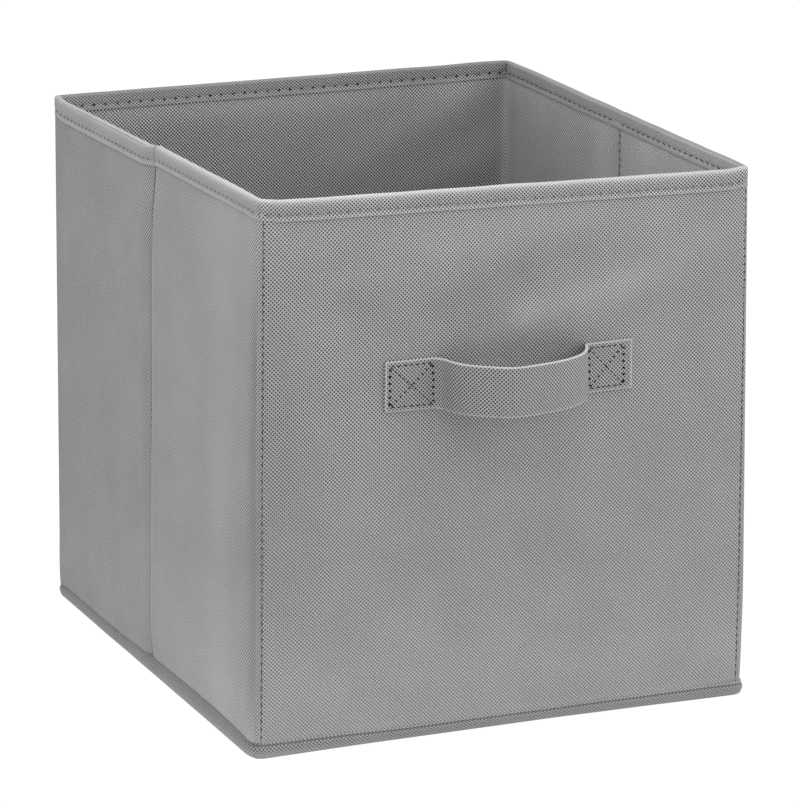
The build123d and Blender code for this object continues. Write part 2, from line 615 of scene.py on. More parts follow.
class Graph:
    """A short way to fill a node tree."""

    def __init__(self, tree: bpy.types.NodeTree) -> None:
        """Keeps the tree to fill."""
        self.tree = tree

    def node(self, kind: str, **settings: object) -> bpy.types.Node:
        """Adds a node.

        Args:
            kind: The node's type name.
            **settings: Attributes to set on it.

        Returns:
            The new node.
        """
        made = self.tree.nodes.new(kind)
        for name, value in settings.items():
            setattr(made, name, value)
        return made

    def feed(self, socket: bpy.types.NodeSocket, value: object) -> None:
        """Links a socket to an output, or sets its value."""
        if isinstance(value, bpy.types.NodeSocket):
            self.tree.links.new(value, socket)
        else:
            socket.default_value = value

    def fill(self, node: bpy.types.Node, **values: object) -> bpy.types.Node:
        """Feeds inputs of a node.

        Args:
            node: The node.
            **values: Its inputs, by name, with underscores for spaces.

        Returns:
            The same node.
        """
        for name, value in values.items():
            self.feed(node.inputs[name.replace("_", " ")], value)
        return node

    def math(self, operation: str, *values: object) -> bpy.types.NodeSocket:
        """Adds a Math node and gives its output."""
        made = self.node("ShaderNodeMath", operation=operation)
        for socket, value in zip(made.inputs, values):
            self.feed(socket, value)
        return made.outputs[0]

    def vector_math(self, operation: str, *values: object) -> bpy.types.NodeSocket:
        """Adds a Vector Math node and gives its output."""
        made = self.node("ShaderNodeVectorMath", operation=operation)
        for socket, value in zip(made.inputs, values):
            self.feed(socket, value)
        return made.outputs["Value" if operation == "LENGTH" else "Vector"]

    def scale(self, vector: object, factor: object) -> bpy.types.NodeSocket:
        """Adds a Vector Math node that scales and gives its output."""
        made = self.node("ShaderNodeVectorMath", operation="SCALE")
        return self.fill(made, Vector=vector, Scale=factor).outputs["Vector"]

    def ramp(
        self, value: object, low: object, high: object, to_low: float, to_high: float
    ) -> bpy.types.NodeSocket:
        """Adds a smooth Map Range node and gives its output."""
        made = self.node("ShaderNodeMapRange", interpolation_type="SMOOTHSTEP")
        self.fill(made, Value=value, From_Min=low, From_Max=high, To_Min=to_low, To_Max=to_high)
        return made.outputs["Result"]

    def noise(self, vector: object, scale: object, detail: float) -> bpy.types.NodeSocket:
        """Adds a Noise Texture node and gives its value."""
        made = self.node("ShaderNodeTexNoise")
        return self.fill(made, Vector=vector, Scale=scale, Detail=detail).outputs["Fac"]

    def mix(self, share: object, first: object, second: object) -> bpy.types.NodeSocket:
        """Adds a colour Mix node and gives its colour."""
        made = self.node("ShaderNodeMix", data_type="RGBA", blend_type="MIX")
        self.feed(made.inputs[0], share)
        self.feed(made.inputs[6], first)
        self.feed(made.inputs[7], second)
        return made.outputs[2]

    def bump(self, shader: bpy.types.Node, height: object, depth: float, strength: float = 1.0) -> None:
        """Adds a Bump node from a height to a shader's normal."""
        made = self.fill(self.node("ShaderNodeBump"), Height=height, Distance=depth, Strength=strength)
        self.fill(shader, Normal=made.outputs["Normal"])

    def group(self, tree: bpy.types.NodeTree, **values: object) -> bpy.types.Node:
        """Places a node group and feeds its inputs."""
        return self.fill(self.node("ShaderNodeGroup", node_tree=tree), **values)


def new_group(
    name: str, inputs: Sequence[tuple[str, str, object]], outputs: Sequence[tuple[str, str]]
) -> tuple[Graph, bpy.types.NodeOutputs, bpy.types.NodeInputs]:
    """Starts a shader node group.

    Args:
        name: The group's name.
        inputs: Name, socket type and default value of each input.
        outputs: Name and socket type of each output.

    Returns:
        The group's graph, the sockets that it is given and the sockets that it puts out.
    """
    tree = bpy.data.node_groups.new(name, "ShaderNodeTree")
    for label, kind, value in inputs:
        socket = tree.interface.new_socket(label, in_out="INPUT", socket_type=kind)
        if value is not None:
            socket.default_value = value
    for label, kind in outputs:
        tree.interface.new_socket(label, in_out="OUTPUT", socket_type=kind)
    graph = Graph(tree)
    return graph, graph.node("NodeGroupInput").outputs, graph.node("NodeGroupOutput").inputs


class ClothEffects:
    """The shader effects that all the cloth finishes share."""

    FLOAT = "NodeSocketFloat"
    COLOUR = "NodeSocketColor"
    VECTOR = "NodeSocketVector"
    DOTS_LOST_IN_PAINTED_LIGHT = 0.75
    DOTS_LOST_IF_PRESSED = 0.35
    ROUGHNESS = 0.82
    DOT_GLOSS = 0.18

    def __init__(self) -> None:
        """Builds the groups once."""
        self.emboss = self.build_emboss()
        self.fibre = self.build_fibre()
        self.tone = self.build_tone()

    def build_emboss(self) -> bpy.types.NodeTree:
        """The bonded dots of the non-woven cloth, in rows turned by 45 degrees.

        Returns:
            A group that puts out the dots' mask and the surface's height.
        """
        graph, given, out = new_group(
            "nonwoven_emboss",
            [
                ("Surface", self.VECTOR, None),
                ("Rows Per Metre", self.FLOAT, 700.0),
                ("Dot", self.FLOAT, 0.34),
                ("Wander", self.FLOAT, 0.12),
            ],
            [("Dimple", self.FLOAT), ("Height", self.FLOAT)],
        )
        turned = graph.node("ShaderNodeVectorRotate", rotation_type="Z_AXIS")
        graph.fill(turned, Vector=given["Surface"], Angle=math.radians(45))
        scaled = graph.scale(turned.outputs["Vector"], given["Rows Per Metre"])
        drift = graph.fill(graph.node("ShaderNodeTexNoise"), Vector=scaled, Scale=0.7, Detail=1.0)
        centred = graph.vector_math("SUBTRACT", drift.outputs["Color"], (0.5, 0.5, 0.5))
        moved = graph.vector_math("ADD", scaled, graph.scale(centred, given["Wander"]))
        flat = graph.vector_math("MULTIPLY", moved, (1.0, 1.0, 0.0))
        cell = graph.vector_math("FRACTION", flat)
        distance = graph.vector_math("LENGTH", graph.vector_math("SUBTRACT", cell, (0.5, 0.5, 0.0)))
        inner = graph.math("MULTIPLY", given["Dot"], 0.7)
        outer = graph.math("MULTIPLY", given["Dot"], 1.25)
        dimple = graph.ramp(distance, inner, outer, 1.0, 0.0)
        graph.feed(out["Dimple"], dimple)
        graph.feed(out["Height"], graph.math("SUBTRACT", 1.0, dimple))
        return graph.tree

    def build_fibre(self) -> bpy.types.NodeTree:
        """Fine fibres and the broad cloudiness of pressed cloth.

        Returns:
            A group that puts out the two, each about 0 to 1.
        """
        graph, given, out = new_group(
            "pressed_fibres",
            [("Surface", self.VECTOR, None), ("Fineness", self.FLOAT, 2400.0)],
            [("Fibre", self.FLOAT), ("Cloud", self.FLOAT)],
        )
        drawn = graph.vector_math("MULTIPLY", given["Surface"], (0.35, 1.0, 1.0))
        across = graph.vector_math("MULTIPLY", given["Surface"], (1.0, 0.4, 1.0))
        first = graph.noise(drawn, given["Fineness"], 2.0)
        second = graph.noise(across, given["Fineness"], 2.0)
        both = graph.math("MULTIPLY", graph.math("ADD", first, second), 0.5)
        graph.feed(out["Fibre"], graph.ramp(both, 0.35, 0.65, 0.0, 1.0))
        cloud = graph.noise(given["Surface"], 26.0, 3.0)
        graph.feed(out["Cloud"], graph.ramp(cloud, 0.3, 0.7, 0.0, 1.0))
        return graph.tree

    def build_tone(self) -> bpy.types.NodeTree:
        """The colour and roughness of the cloth, with its dots, its painted light and highlights, and its
        seams with painted shade.

        Returns:
            A group that puts out the colour and the roughness.
        """
        graph, given, out = new_group(
            "cloth_tone",
            [
                ("Cloth", self.COLOUR, (0.3, 0.3, 0.3, 1.0)),
                ("Dot Colour", self.COLOUR, (0.15, 0.15, 0.15, 1.0)),
                ("Fold Colour", self.COLOUR, (0.4, 0.4, 0.4, 1.0)),
                ("Seam Colour", self.COLOUR, (0.1, 0.1, 0.1, 1.0)),
                ("Dimple", self.FLOAT, 0.0),
                ("Fibre", self.FLOAT, 0.5),
                ("Cloud", self.FLOAT, 0.5),
                ("Fold", self.FLOAT, 0.0),
                ("Seam", self.FLOAT, 0.0),
                ("Flat", self.FLOAT, 0.0),
                ("Flat Gain", self.FLOAT, 1.0),
                ("Fibre Contrast", self.FLOAT, 0.2),
                ("Cloud Contrast", self.FLOAT, 0.05),
            ],
            [("Colour", self.COLOUR), ("Roughness", self.FLOAT)],
        )
        # Painted light: the cloth goes towards a lit copy of itself where the painted light mark is.
        folded = graph.mix(given["Fold"], given["Cloth"], given["Fold Colour"])
        fibre, cloud = (
            graph.math("MULTIPLY", graph.math("SUBTRACT", given[name], 0.5), given[f"{name} Contrast"])
            for name in ("Fibre", "Cloud")
        )
        change = graph.math("SUBTRACT", given["Flat Gain"], 1.0)
        even = graph.math("MULTIPLY_ADD", given["Flat"], change, 1.0)
        toned = graph.scale(folded, graph.math("ADD", graph.math("ADD", fibre, cloud), even))
        # Painted light hides the dots, as a highlight would.
        lost = graph.math("MULTIPLY", given["Fold"], self.DOTS_LOST_IN_PAINTED_LIGHT)
        weaker = graph.math("SUBTRACT", 1.0, lost)
        pressed = graph.math("MULTIPLY_ADD", given["Flat"], -self.DOTS_LOST_IF_PRESSED, 1.0)
        dots = graph.math("MULTIPLY", graph.math("MULTIPLY", given["Dimple"], pressed), weaker)
        dotted = graph.mix(dots, toned, given["Dot Colour"])
        # Dark seams and painted shade: the cloth goes towards a dark copy of itself.
        graph.feed(out["Colour"], graph.mix(given["Seam"], dotted, given["Seam Colour"]))
        rough = graph.math("MULTIPLY_ADD", given["Dimple"], -self.DOT_GLOSS, self.ROUGHNESS)
        graph.feed(out["Roughness"], rough)
        return graph.tree


def opaque(colour: Colour) -> tuple[float, float, float, float]:
    """A colour with full opacity."""
    return (*colour, 1.0)


def shaded(colour: Colour, gain: float) -> tuple[float, float, float, float]:
    """A colour times a gain, with full opacity."""
    return opaque(tuple(channel * gain for channel in colour))


def start_material(name: str) -> tuple[bpy.types.Material, Graph, bpy.types.Node]:
    """Starts a material.

    Args:
        name: The material's name.

    Returns:
        The material, its graph and its Principled shader.
    """
    material = bpy.data.materials.new(name)
    material.use_nodes = True
    return material, Graph(material.node_tree), material.node_tree.nodes["Principled BSDF"]


@dataclass(frozen=True)
class NonWovenFinish:
    """Dot-bonded non-woven cloth."""

    name: str
    slot: str
    cloth: Colour
    # The bonded dots are darker partly in their own tone and partly as painted shade in their pits.
    dot_gain: float = 0.28
    # Gain of the lit copy of the cloth that paints light and highlights.
    painted_light_gain: float = 1.45
    # Gain of the dark copy of the cloth for seams and painted shade.
    seam_and_shade_gain: float = 0.16
    flat_gain: float = 0.83
    row_pitch: float = 1.414 * MM
    dot: float = 0.36
    fibre_contrast: float = 0.30
    cloud_contrast: float = 0.08
    specular: float = 0.25
    sheen: float = 0.12
    bump_depth: float = 0.16 * MM
    bump_strength: float = 0.55
    fibre_bump: float = 0.18

    def material(self, effects: ClothEffects) -> bpy.types.Material:
        """Makes the material.

        Args:
            effects: The shared shader groups.

        Returns:
            The material.
        """
        material, graph, shader = start_material(self.name)
        surface = graph.node("ShaderNodeUVMap", uv_map=ClothPatch.UV_NAME).outputs["UV"]
        fold, seam, pressed = (
            graph.node("ShaderNodeAttribute", attribute_name=mark).outputs["Fac"]
            for mark in ClothPatch.MARKS
        )
        emboss = graph.group(
            effects.emboss, Surface=surface, Rows_Per_Metre=1.0 / self.row_pitch, Dot=self.dot
        )
        fibre = graph.group(effects.fibre, Surface=surface)
        tone = graph.group(
            effects.tone,
            Cloth=opaque(self.cloth),
            Dot_Colour=shaded(self.cloth, self.dot_gain),
            Fold_Colour=shaded(self.cloth, self.painted_light_gain),
            Seam_Colour=shaded(self.cloth, self.seam_and_shade_gain),
            Dimple=emboss.outputs["Dimple"],
            Fibre=fibre.outputs["Fibre"],
            Cloud=fibre.outputs["Cloud"],
            Fold=fold,
            Seam=seam,
            Flat=pressed,
            Flat_Gain=self.flat_gain,
            Fibre_Contrast=self.fibre_contrast,
            Cloud_Contrast=self.cloud_contrast,
        )
        graph.fill(shader, Base_Color=tone.outputs["Colour"], Roughness=tone.outputs["Roughness"])
        graph.fill(shader, Specular_IOR_Level=self.specular, Sheen_Weight=self.sheen)
        fuzz = graph.math("MULTIPLY", fibre.outputs["Fibre"], self.fibre_bump)
        height = graph.math("ADD", emboss.outputs["Height"], fuzz)
        graph.bump(shader, height, self.bump_depth, self.bump_strength)
        return material


@dataclass(frozen=True)
class ThreadFinish:
    """Twisted sewing thread."""

    name: str
    slot: str
    colour: Colour
    twist: float = 900.0
    specular: float = 0.12
    bump_depth: float = 0.08 * MM

    def material(self, effects: ClothEffects) -> bpy.types.Material:
        """Makes the material, with the light and dark of the thread's plies."""
        material, graph, shader = start_material(self.name)
        spot = graph.node("ShaderNodeTexCoord").outputs["Object"]
        ply = graph.node("ShaderNodeTexWave", wave_type="BANDS", bands_direction="DIAGONAL")
        graph.fill(ply, Vector=spot, Scale=self.twist, Distortion=1.5)
        fuzz = graph.noise(spot, 2600.0, 2.0)
        tone = graph.mix(ply.outputs["Fac"], shaded(self.colour, 0.65), shaded(self.colour, 1.2))
        rough = graph.ramp(fuzz, 0.3, 0.7, 0.5, 0.75)
        graph.fill(shader, Base_Color=graph.mix(fuzz, tone, opaque(self.colour)), Roughness=rough)
        graph.fill(shader, Specular_IOR_Level=self.specular)
        graph.bump(shader, ply.outputs["Fac"], self.bump_depth)
        return material


@dataclass(frozen=True)
class BoardFinish:
    """Grey recycled board with flecks."""

    name: str
    slot: str
    colour: Colour
    bump_depth: float = 0.1 * MM

    def material(self, effects: ClothEffects) -> bpy.types.Material:
        """Makes the material, from fibres, cloudiness and dark flecks."""
        material, graph, shader = start_material(self.name)
        spot = graph.node("ShaderNodeTexCoord").outputs["Object"]
        fibre = graph.group(effects.fibre, Surface=spot, Fineness=900.0)
        fleck = graph.ramp(graph.noise(spot, 700.0, 1.0), 0.64, 0.70, 0.0, 0.6)
        pulp = graph.mix(fibre.outputs["Cloud"], shaded(self.colour, 0.85), shaded(self.colour, 1.1))
        rough = graph.ramp(fibre.outputs["Fibre"], 0.0, 1.0, 0.8, 0.95)
        graph.fill(shader, Base_Color=graph.mix(fleck, pulp, shaded(self.colour, 0.4)), Roughness=rough)
        graph.bump(shader, fibre.outputs["Fibre"], self.bump_depth)
        return material


class Finish(Enum):
    """The finishes of the bin's pieces."""

    CLOTH = NonWovenFinish("grey_nonwoven_cloth", "cloth", (0.362, 0.362, 0.360), dot_gain=0.10)
    # The lining is the same cloth painted lighter, for light that the shaded inside lacks; its flat gain
    # above 1 paints the side linings lighter still.
    LINING = NonWovenFinish(
        "grey_nonwoven_lining", "lining", (0.553, 0.566, 0.575),
        dot_gain=0.03, dot=0.425, row_pitch=1.37 * MM, flat_gain=1.07,
    )
    # The high lit gain paints the bright highlight on the binding's crown.
    BINDING = NonWovenFinish(
        "grey_binding_strip", "binding", (0.382, 0.383, 0.383),
        dot_gain=0.03, dot=0.375, painted_light_gain=2.0, flat_gain=0.95,
    )
    # The welt is the same cloth painted darker, for the shade that it lies in under the walls.
    WELT = NonWovenFinish("grey_base_welt", "binding", (0.305, 0.305, 0.305), dot_gain=0.20)
    # The high lit gain paints the bright highlights on the strap's edges.
    STRAP = NonWovenFinish(
        "grey_folded_strap", "strap", (0.335, 0.336, 0.336), dot_gain=0.07, painted_light_gain=2.2
    )
    # One sewing thread in four tones: the pale copy is painted light for the lit front rows; the dark and
    # black copies paint the shade of needle holes and of the rows inside the bin.
    THREAD = ThreadFinish("grey_sewing_thread", "thread", (0.105, 0.106, 0.114))
    PALE_THREAD = ThreadFinish("pale_sewing_thread", "thread", (0.190, 0.190, 0.208))
    DARK_THREAD = ThreadFinish("dark_sewing_thread", "thread", (0.030, 0.032, 0.045))
    BOX_THREAD = ThreadFinish("black_sewing_thread", "thread", (0.004, 0.0042, 0.006))
    BOARD = BoardFinish("recycled_greyboard", "greyboard", (0.42, 0.38, 0.33))


class Workshop:
    """Makes the pieces, leans them with the bin and dresses them."""

    def __init__(self, sizes: BinSizes) -> None:
        """Builds the shared effects."""
        self.lean = Lean(sizes)
        self.effects = ClothEffects()
        self.made: dict[Finish, bpy.types.Material] = {}

    def piece(self, name: str, shape: bmesh.types.BMesh) -> bpy.types.Object:
        """Turns a bmesh into a piece of the bin.

        Args:
            name: The piece's name.
            shape: Its shape in the square bin, which is freed.

        Returns:
            The new object, at the origin.
        """
        for vert in shape.verts:
            vert.co += self.lean.at(vert.co)
        return new_object(name, shape)

    def dress(self, piece: bpy.types.Object, finish: Finish) -> bpy.types.Object:
        """Gives a piece a finish.

        Args:
            piece: The piece to dress.
            finish: Its finish.

        Returns:
            The same piece.
        """
        if finish not in self.made:
            self.made[finish] = finish.value.material(self.effects)
        piece.data.materials.clear()
        piece.data.materials.append(self.made[finish])
        return piece


def new_object(name: str, shape: bmesh.types.BMesh, smooth: bool = True) -> bpy.types.Object:
    """Turns a bmesh into an object of the scene.

    Args:
        name: The object's name.
        shape: Its shape, which is freed.
        smooth: Whether its faces shade smoothly.

    Returns:
        The new object, at the origin.
    """
    mesh = bpy.data.meshes.new(name)
    for face in shape.faces:
        face.smooth = smooth
    shape.to_mesh(mesh)
    shape.free()
    made = bpy.data.objects.new(name, mesh)
    bpy.context.scene.collection.objects.link(made)
    LOG.info("%s: %d faces", name, len(mesh.polygons))
    return made


def thicken(piece: bpy.types.Object, thickness: float, offset: float = -1.0) -> None:
    """Gives a sheet its thickness, with offset -1 keeping the drawn surface outside."""
    wall = piece.modifiers.new("thickness", "SOLIDIFY")
    wall.thickness = thickness
    wall.offset = offset
    wall.use_even_offset = False


def round_edges(piece: bpy.types.Object, width: float) -> None:
    """Rounds the sharp edges of a piece."""
    bevel = piece.modifiers.new("rounding", "BEVEL")
    bevel.width = width
    bevel.segments = 3
    bevel.limit_method = "ANGLE"
    bevel.angle_limit = math.radians(50)


@dataclass(frozen=True)
class ClothPatch:
    """A grid of cloth, bent to a shape, with a surface map in metres and marks of painted light, of seams
    with painted shade and of pressed dots.

    Flip turns its faces over, merge joins edges that meet and crisp keeps its rims out of the shading.
    """

    UV_NAME = "cloth_run"
    # Marks: painted light and highlights; dark seams and painted shade; dots pressed flat.
    MARKS = ("painted_light", "seam_and_painted_shade", "dots_pressed")

    columns: int
    rows: int
    flip: bool = False
    merge: bool = False
    crisp: bool = False

    def build(
        self, workshop: Workshop, name: str, place: Place, surface: Place, marks: Marks | None = None
    ) -> bpy.types.Object:
        """Bends the grid into a piece.

        Args:
            workshop: The maker of pieces.
            name: The piece's name.
            place: The point for a share across and a share up the grid.
            surface: The flat place on the cloth for the same shares.
            marks: The painted light, the darkness of seams and painted shade, and how far the dots are
                pressed flat.

        Returns:
            The new piece.
        """
        shape = bmesh.new()
        bmesh.ops.create_grid(shape, x_segments=self.columns, y_segments=self.rows, size=0.5)
        run = shape.loops.layers.uv.new(self.UV_NAME)
        for mark in self.MARKS:
            shape.verts.layers.float.new(mark)
        layers = shape.verts.layers.float.values()
        span = max(vert.co.x for vert in shape.verts) * 2
        shares = {vert: (vert.co.x / span + 0.5, vert.co.y / span + 0.5) for vert in shape.verts}
        for face in shape.faces:
            for loop in face.loops:
                loop[run].uv = surface(*shares[loop.vert]).xy
        for vert, (across, up) in shares.items():
            vert.co = place(across, up)
            if marks is not None:
                for layer, value in zip(layers, marks(across, up)):
                    vert[layer] = value
        if self.merge:
            bmesh.ops.remove_doubles(shape, verts=shape.verts[:], dist=0.01 * MM)
        if self.flip:
            bmesh.ops.reverse_faces(shape, faces=shape.faces[:])
        if self.crisp:
            for edge in shape.edges:
                edge.smooth = not edge.is_boundary
        return workshop.piece(name, shape)


@dataclass(frozen=True)
class Crossing:
    """A joint that a piece of cloth crosses."""

    first: str
    second: str
    start: Vector
    end: Vector


def settle(piece: bpy.types.Object, body: str | Crossing, *nodes: str) -> bpy.types.Object:
    """Sets a piece on its body, or across a joint, in place of frame nodes.

    Args:
        piece: The piece.
        body: The body's name, or the joint that the piece crosses.
        *nodes: The nodes that the piece stands for.

    Returns:
        The same piece.
    """
    if isinstance(body, Crossing):
        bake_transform(piece, body.first, body.second, start=body.start, end=body.end)
    else:
        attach(piece, body)
    if nodes:
        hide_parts(*nodes)
    return piece


@dataclass(frozen=True)
class WallRun:
    """A stretch of the perimeter that one piece of cloth covers."""

    name: str
    start: float
    end: float
    body: str | Crossing
    nodes: tuple[str, ...] = ()
    creased: bool = False

    @property
    def length(self) -> float:
        """The length of the stretch."""
        return self.end - self.start

    def at(self, share: float) -> float:
        """The perimeter place at a share of the stretch, with creased runs denser in the middle."""
        if self.creased:
            off = 2.0 * share - 1.0
            share = 0.5 + 0.5 * (0.3 * off + 0.7 * off**3)
        return self.start + self.length * share


@dataclass(frozen=True)
class WallPlan:
    """How the perimeter is shared out among the pieces and which bodies they follow."""

    shape: ShellShape
    seam: float = 6.0 * MM
    turn: float = 8.0 * MM
    slack_turn: float = 28.0 * MM
    crease_soft: float = 5.0 * MM

    BODIES = {"left": ("left_rear", "left_front"), "right": ("right_front", "right_rear")}

    def crease(self, side: Side) -> Crossing:
        """The crease of a side wall, crossed in the direction of the perimeter."""
        first, second = self.BODIES[side.name.lower()]
        middle, _, _ = self.shape.nominal(self.shape.middle(side))
        step = side.travel * self.crease_soft
        return Crossing(first, second, middle - step, middle + step)

    def corner(self, index: int, first: str, second: str, reach: float) -> Crossing:
        """A corner of the bin, crossed in the direction of the perimeter."""
        before = Side((index - 1) % 4).travel
        after = Side(index).travel
        point, _, _ = self.shape.nominal(self.shape.corner(index))
        return Crossing(first, second, point - before * reach, point + after * reach)

    def runs(self, part: str, before: float, after: float, slack: float) -> list[WallRun]:
        """Shares out the perimeter for the outer cloth or the binding.

        Args:
            part: The end of the frame nodes' names, such as outer_panel.
            before: How far a corner piece reaches on the front and back walls.
            after: How far it reaches on the side walls.
            slack: How far the front left corner's piece reaches on the left wall.

        Returns:
            The stretches, from the front wall round to the front left corner.
        """
        shape = self.shape
        right, rear, left, end = shape.corner(1), shape.corner(2), shape.corner(3), shape.perimeter
        short = min(before, after)
        hem = shape.sizes.wall + shape.sizes.cloth
        return [
            WallRun("front", before, right - before, "front_and_base", (f"front_{part}",)),
            WallRun("front_right_corner", right - before, right + after,
                    self.corner(1, "front_and_base", "right_front", short)),
            WallRun("right", right + after, rear - hem, self.crease(Side.RIGHT),
                    (f"right_front_{part}", f"right_rear_{part}"), True),
            WallRun("rear_right_corner", rear - hem, rear + before, "back_wall"),
            WallRun("back", rear + before, left - before, "back_wall", (f"back_{part}",)),
            WallRun("rear_left_corner", left - before, left + after,
                    self.corner(3, "back_wall", "left_rear", short)),
            WallRun("left", left + after, end - slack, self.crease(Side.LEFT),
                    (f"left_rear_{part}", f"left_front_{part}"), True),
            WallRun("front_left_corner", end - slack, end + before,
                    self.corner(0, "left_front", "front_and_base", short)),
        ]


@dataclass
class OuterCloth:
    """The outer cloth of the walls, which turns round the corners and folds in at the creases."""

    shape: ShellShape
    plan: WallPlan
    workshop: Workshop
    grid: float = 2.6 * MM
    corner_grid: float = 0.6 * MM
    foot_tuck: float = 0.2 * MM
    rim_tuck: float = 2.0 * MM
    # Height below which the walls get painted light, growing to the foot.
    light_top: float = 105.0 * MM

    # Painted light (the LIGHT and RIDGE bands), painted shade (the SHADE bands and the foot's dark line),
    # and the dark corner seam (SEAM_LINE).
    CORNER_LIGHT = Band(0.2, 0.0, 1.6)
    FOOT_LIGHT = Band(0.12, 1.0, 1.5)
    FOOT_SHADOW = Band(0.06, 0.0, 0.4)
    RIM_LIGHT = Band(0.05, 20.0, 12.0)
    SEAM_LINE = Band(0.45, 0.0, 0.4)
    STRAP_SHADE = Spot(0.06, (0.0, 30.0), (138.0, 14.0))
    LEFT_SHADE = Spot(0.13, (-124.0, 16.0), (130.0, 60.0))
    CREASE_RIDGE_LIGHT = Band(0.35, -2.0, 1.0)
    CREASE_LIGHT = Band(0.1, -10.0, 9.0)
    CREASE_DOTS = Band(1.0, 6.0, 11.0)
    FORWARD_LIGHT = Band(0.13, 42.0, 18.0)
    UPPER_LIGHT = Band(0.16, 20.0, 26.0)
    FORWARD_SHADE = Band(0.28, 2.0, 6.0)
    REAR_SHADE = Band(0.14, 0.0, 16.0)

    def build(self) -> None:
        """Builds a piece for each stretch of the perimeter."""
        low = self.shape.foot_level - self.foot_tuck
        high = self.shape.sizes.height - self.rim_tuck
        rows = round((high - low) / self.grid)
        for run in self.plan.runs("outer_panel", self.plan.seam, self.plan.turn, self.plan.slack_turn):
            cornered = "corner" in run.name
            columns = round(run.length / (self.corner_grid if cornered else self.grid))
            if run.creased:
                columns = round(1.4 * columns)
            piece = ClothPatch(columns, rows, crisp=True).build(
                self.workshop,
                f"{run.name}_cloth",
                lambda across, up: self.shape.outer(run.at(across), self.level(run.at(across), high, up)),
                lambda across, up: Vector((run.at(across), self.level(run.at(across), high, up), 0)),
                lambda across, up: self.marks(run.at(across), self.level(run.at(across), high, up)),
            )
            thicken(piece, self.shape.sizes.cloth)
            settle(self.workshop.dress(piece, Finish.CLOTH), run.body, *run.nodes)
            if run.nodes:
                [node.replace("outer_panel", "board") for node in run.nodes]

    def level(self, place: float, high: float, up: float) -> float:
        """The height at a share of the way from the welt to the cloth's upper edge."""
        _, side, along = self.shape.nominal(place)
        return between(self.shape.foot_height(side, along) - self.foot_tuck, high, up)

    def marks(self, place: float, height: float) -> tuple[float, float, float]:
        """The painted light, the dark seams with painted shade and the pressed dots on the outer cloth."""
        _, side, along = self.shape.nominal(place)
        wall_marks = self.side_marks if side.is_folding else self.end_marks
        light, dark, flat = wall_marks(place, height)
        # Painted highlight along the bent upper corners of the front and back walls.
        if not side.is_folding:
            bent = smooth_step((height - 90 * MM) / (70 * MM))
            light += bent * self.CORNER_LIGHT.at(self.shape.to_edge(side, along))
        # Painted light just above the welt, and a painted shadow line where the cloth meets it.
        foot = height - self.shape.foot_height(side, along)
        return light + self.FOOT_LIGHT.at(foot), max(dark, self.FOOT_SHADOW.at(foot)), flat

    def end_marks(self, place: float, height: float) -> tuple[float, float, float]:
        """The marks of the front and back walls: painted light low down and under the rim, the dark corner
        seams, and dots pressed towards the foot; on the front, painted light on the folds' ridges and
        painted shade in their hollows, under the strap and near the left corner.
        """
        _, side, along = self.shape.nominal(place)
        edge = self.shape.to_edge(side, along)
        onward = smooth_step(0.5 + along / self.shape.side_length(side))
        # Painted light on the lower wall, growing to the foot, and under the rim.
        light = between(0.27, 0.19, onward) * smooth_step((self.light_top - height) / (100 * MM))
        drop = self.shape.sizes.height - height
        light += self.RIM_LIGHT.at(drop)
        seam = self.SEAM_LINE.at(edge - self.shape.seam_inset(side, along, height))
        shade = 0.0
        # On the front: painted light on the pull folds' ridges, painted shade in their hollows, under the
        # strap and near the left corner.
        if side is Side.FRONT:
            tone = self.shape.painted_pull_tone(along, height)
            light += max(tone, 0.0)
            shade = max(-tone, 0.0) + self.STRAP_SHADE.at(along, drop) + self.LEFT_SHADE.at(along, drop)
        flat = 0.5 * smooth_step((0.68 - height / self.shape.sizes.height) / 0.3)
        return light, max(seam, shade), flat

    def side_marks(self, place: float, height: float) -> tuple[float, float, float]:
        """The marks of a folding wall: the painted shade of its crease with a painted highlight on the ridge
        beside it, painted light low down and towards the front, and painted shade at its ends.
        """
        _, side, along = self.shape.nominal(place)
        edge = self.shape.to_edge(side, along)
        behind = self.shape.crease_distance(side, along, height)
        forward = smooth_step(-behind / (40 * MM))
        share = height / self.shape.sizes.height
        # Painted light low down, beside the crease's ridge and towards the front corner.
        light = (0.25 + 0.11 * forward) * smooth_step((self.light_top - height) / self.light_top)
        light += max(self.CREASE_RIDGE_LIGHT.at(behind), self.CREASE_LIGHT.at(behind))
        upper = self.UPPER_LIGHT.at(edge) * smooth_step((share - 0.78) / 0.14)
        light += forward * (0.1 + self.FORWARD_LIGHT.at(edge) + upper)
        # Painted shade near the front corner and towards the rear end.
        middle = smooth_step((share - 0.03) / 0.12) * smooth_step((0.9 - share) / 0.2)
        rear = 0.05 * smooth_step((behind - 40 * MM) / (40 * MM)) + self.REAR_SHADE.at(edge)
        shade = between(rear, middle * self.FORWARD_SHADE.at(edge), forward)
        _, reach, _ = self.shape.turn(place, height)
        flat = smooth_step((edge - 0.6 * reach) / (10 * MM))
        dotted = between(0.2, 0.85, share)
        flat *= between(1.0, 0.45, forward) * (1.0 - dotted * self.CREASE_DOTS.at(behind))
        # With the crease's painted shade.
        return light, max(self.shape.crease_painted_shade(side, along, height), shade), flat


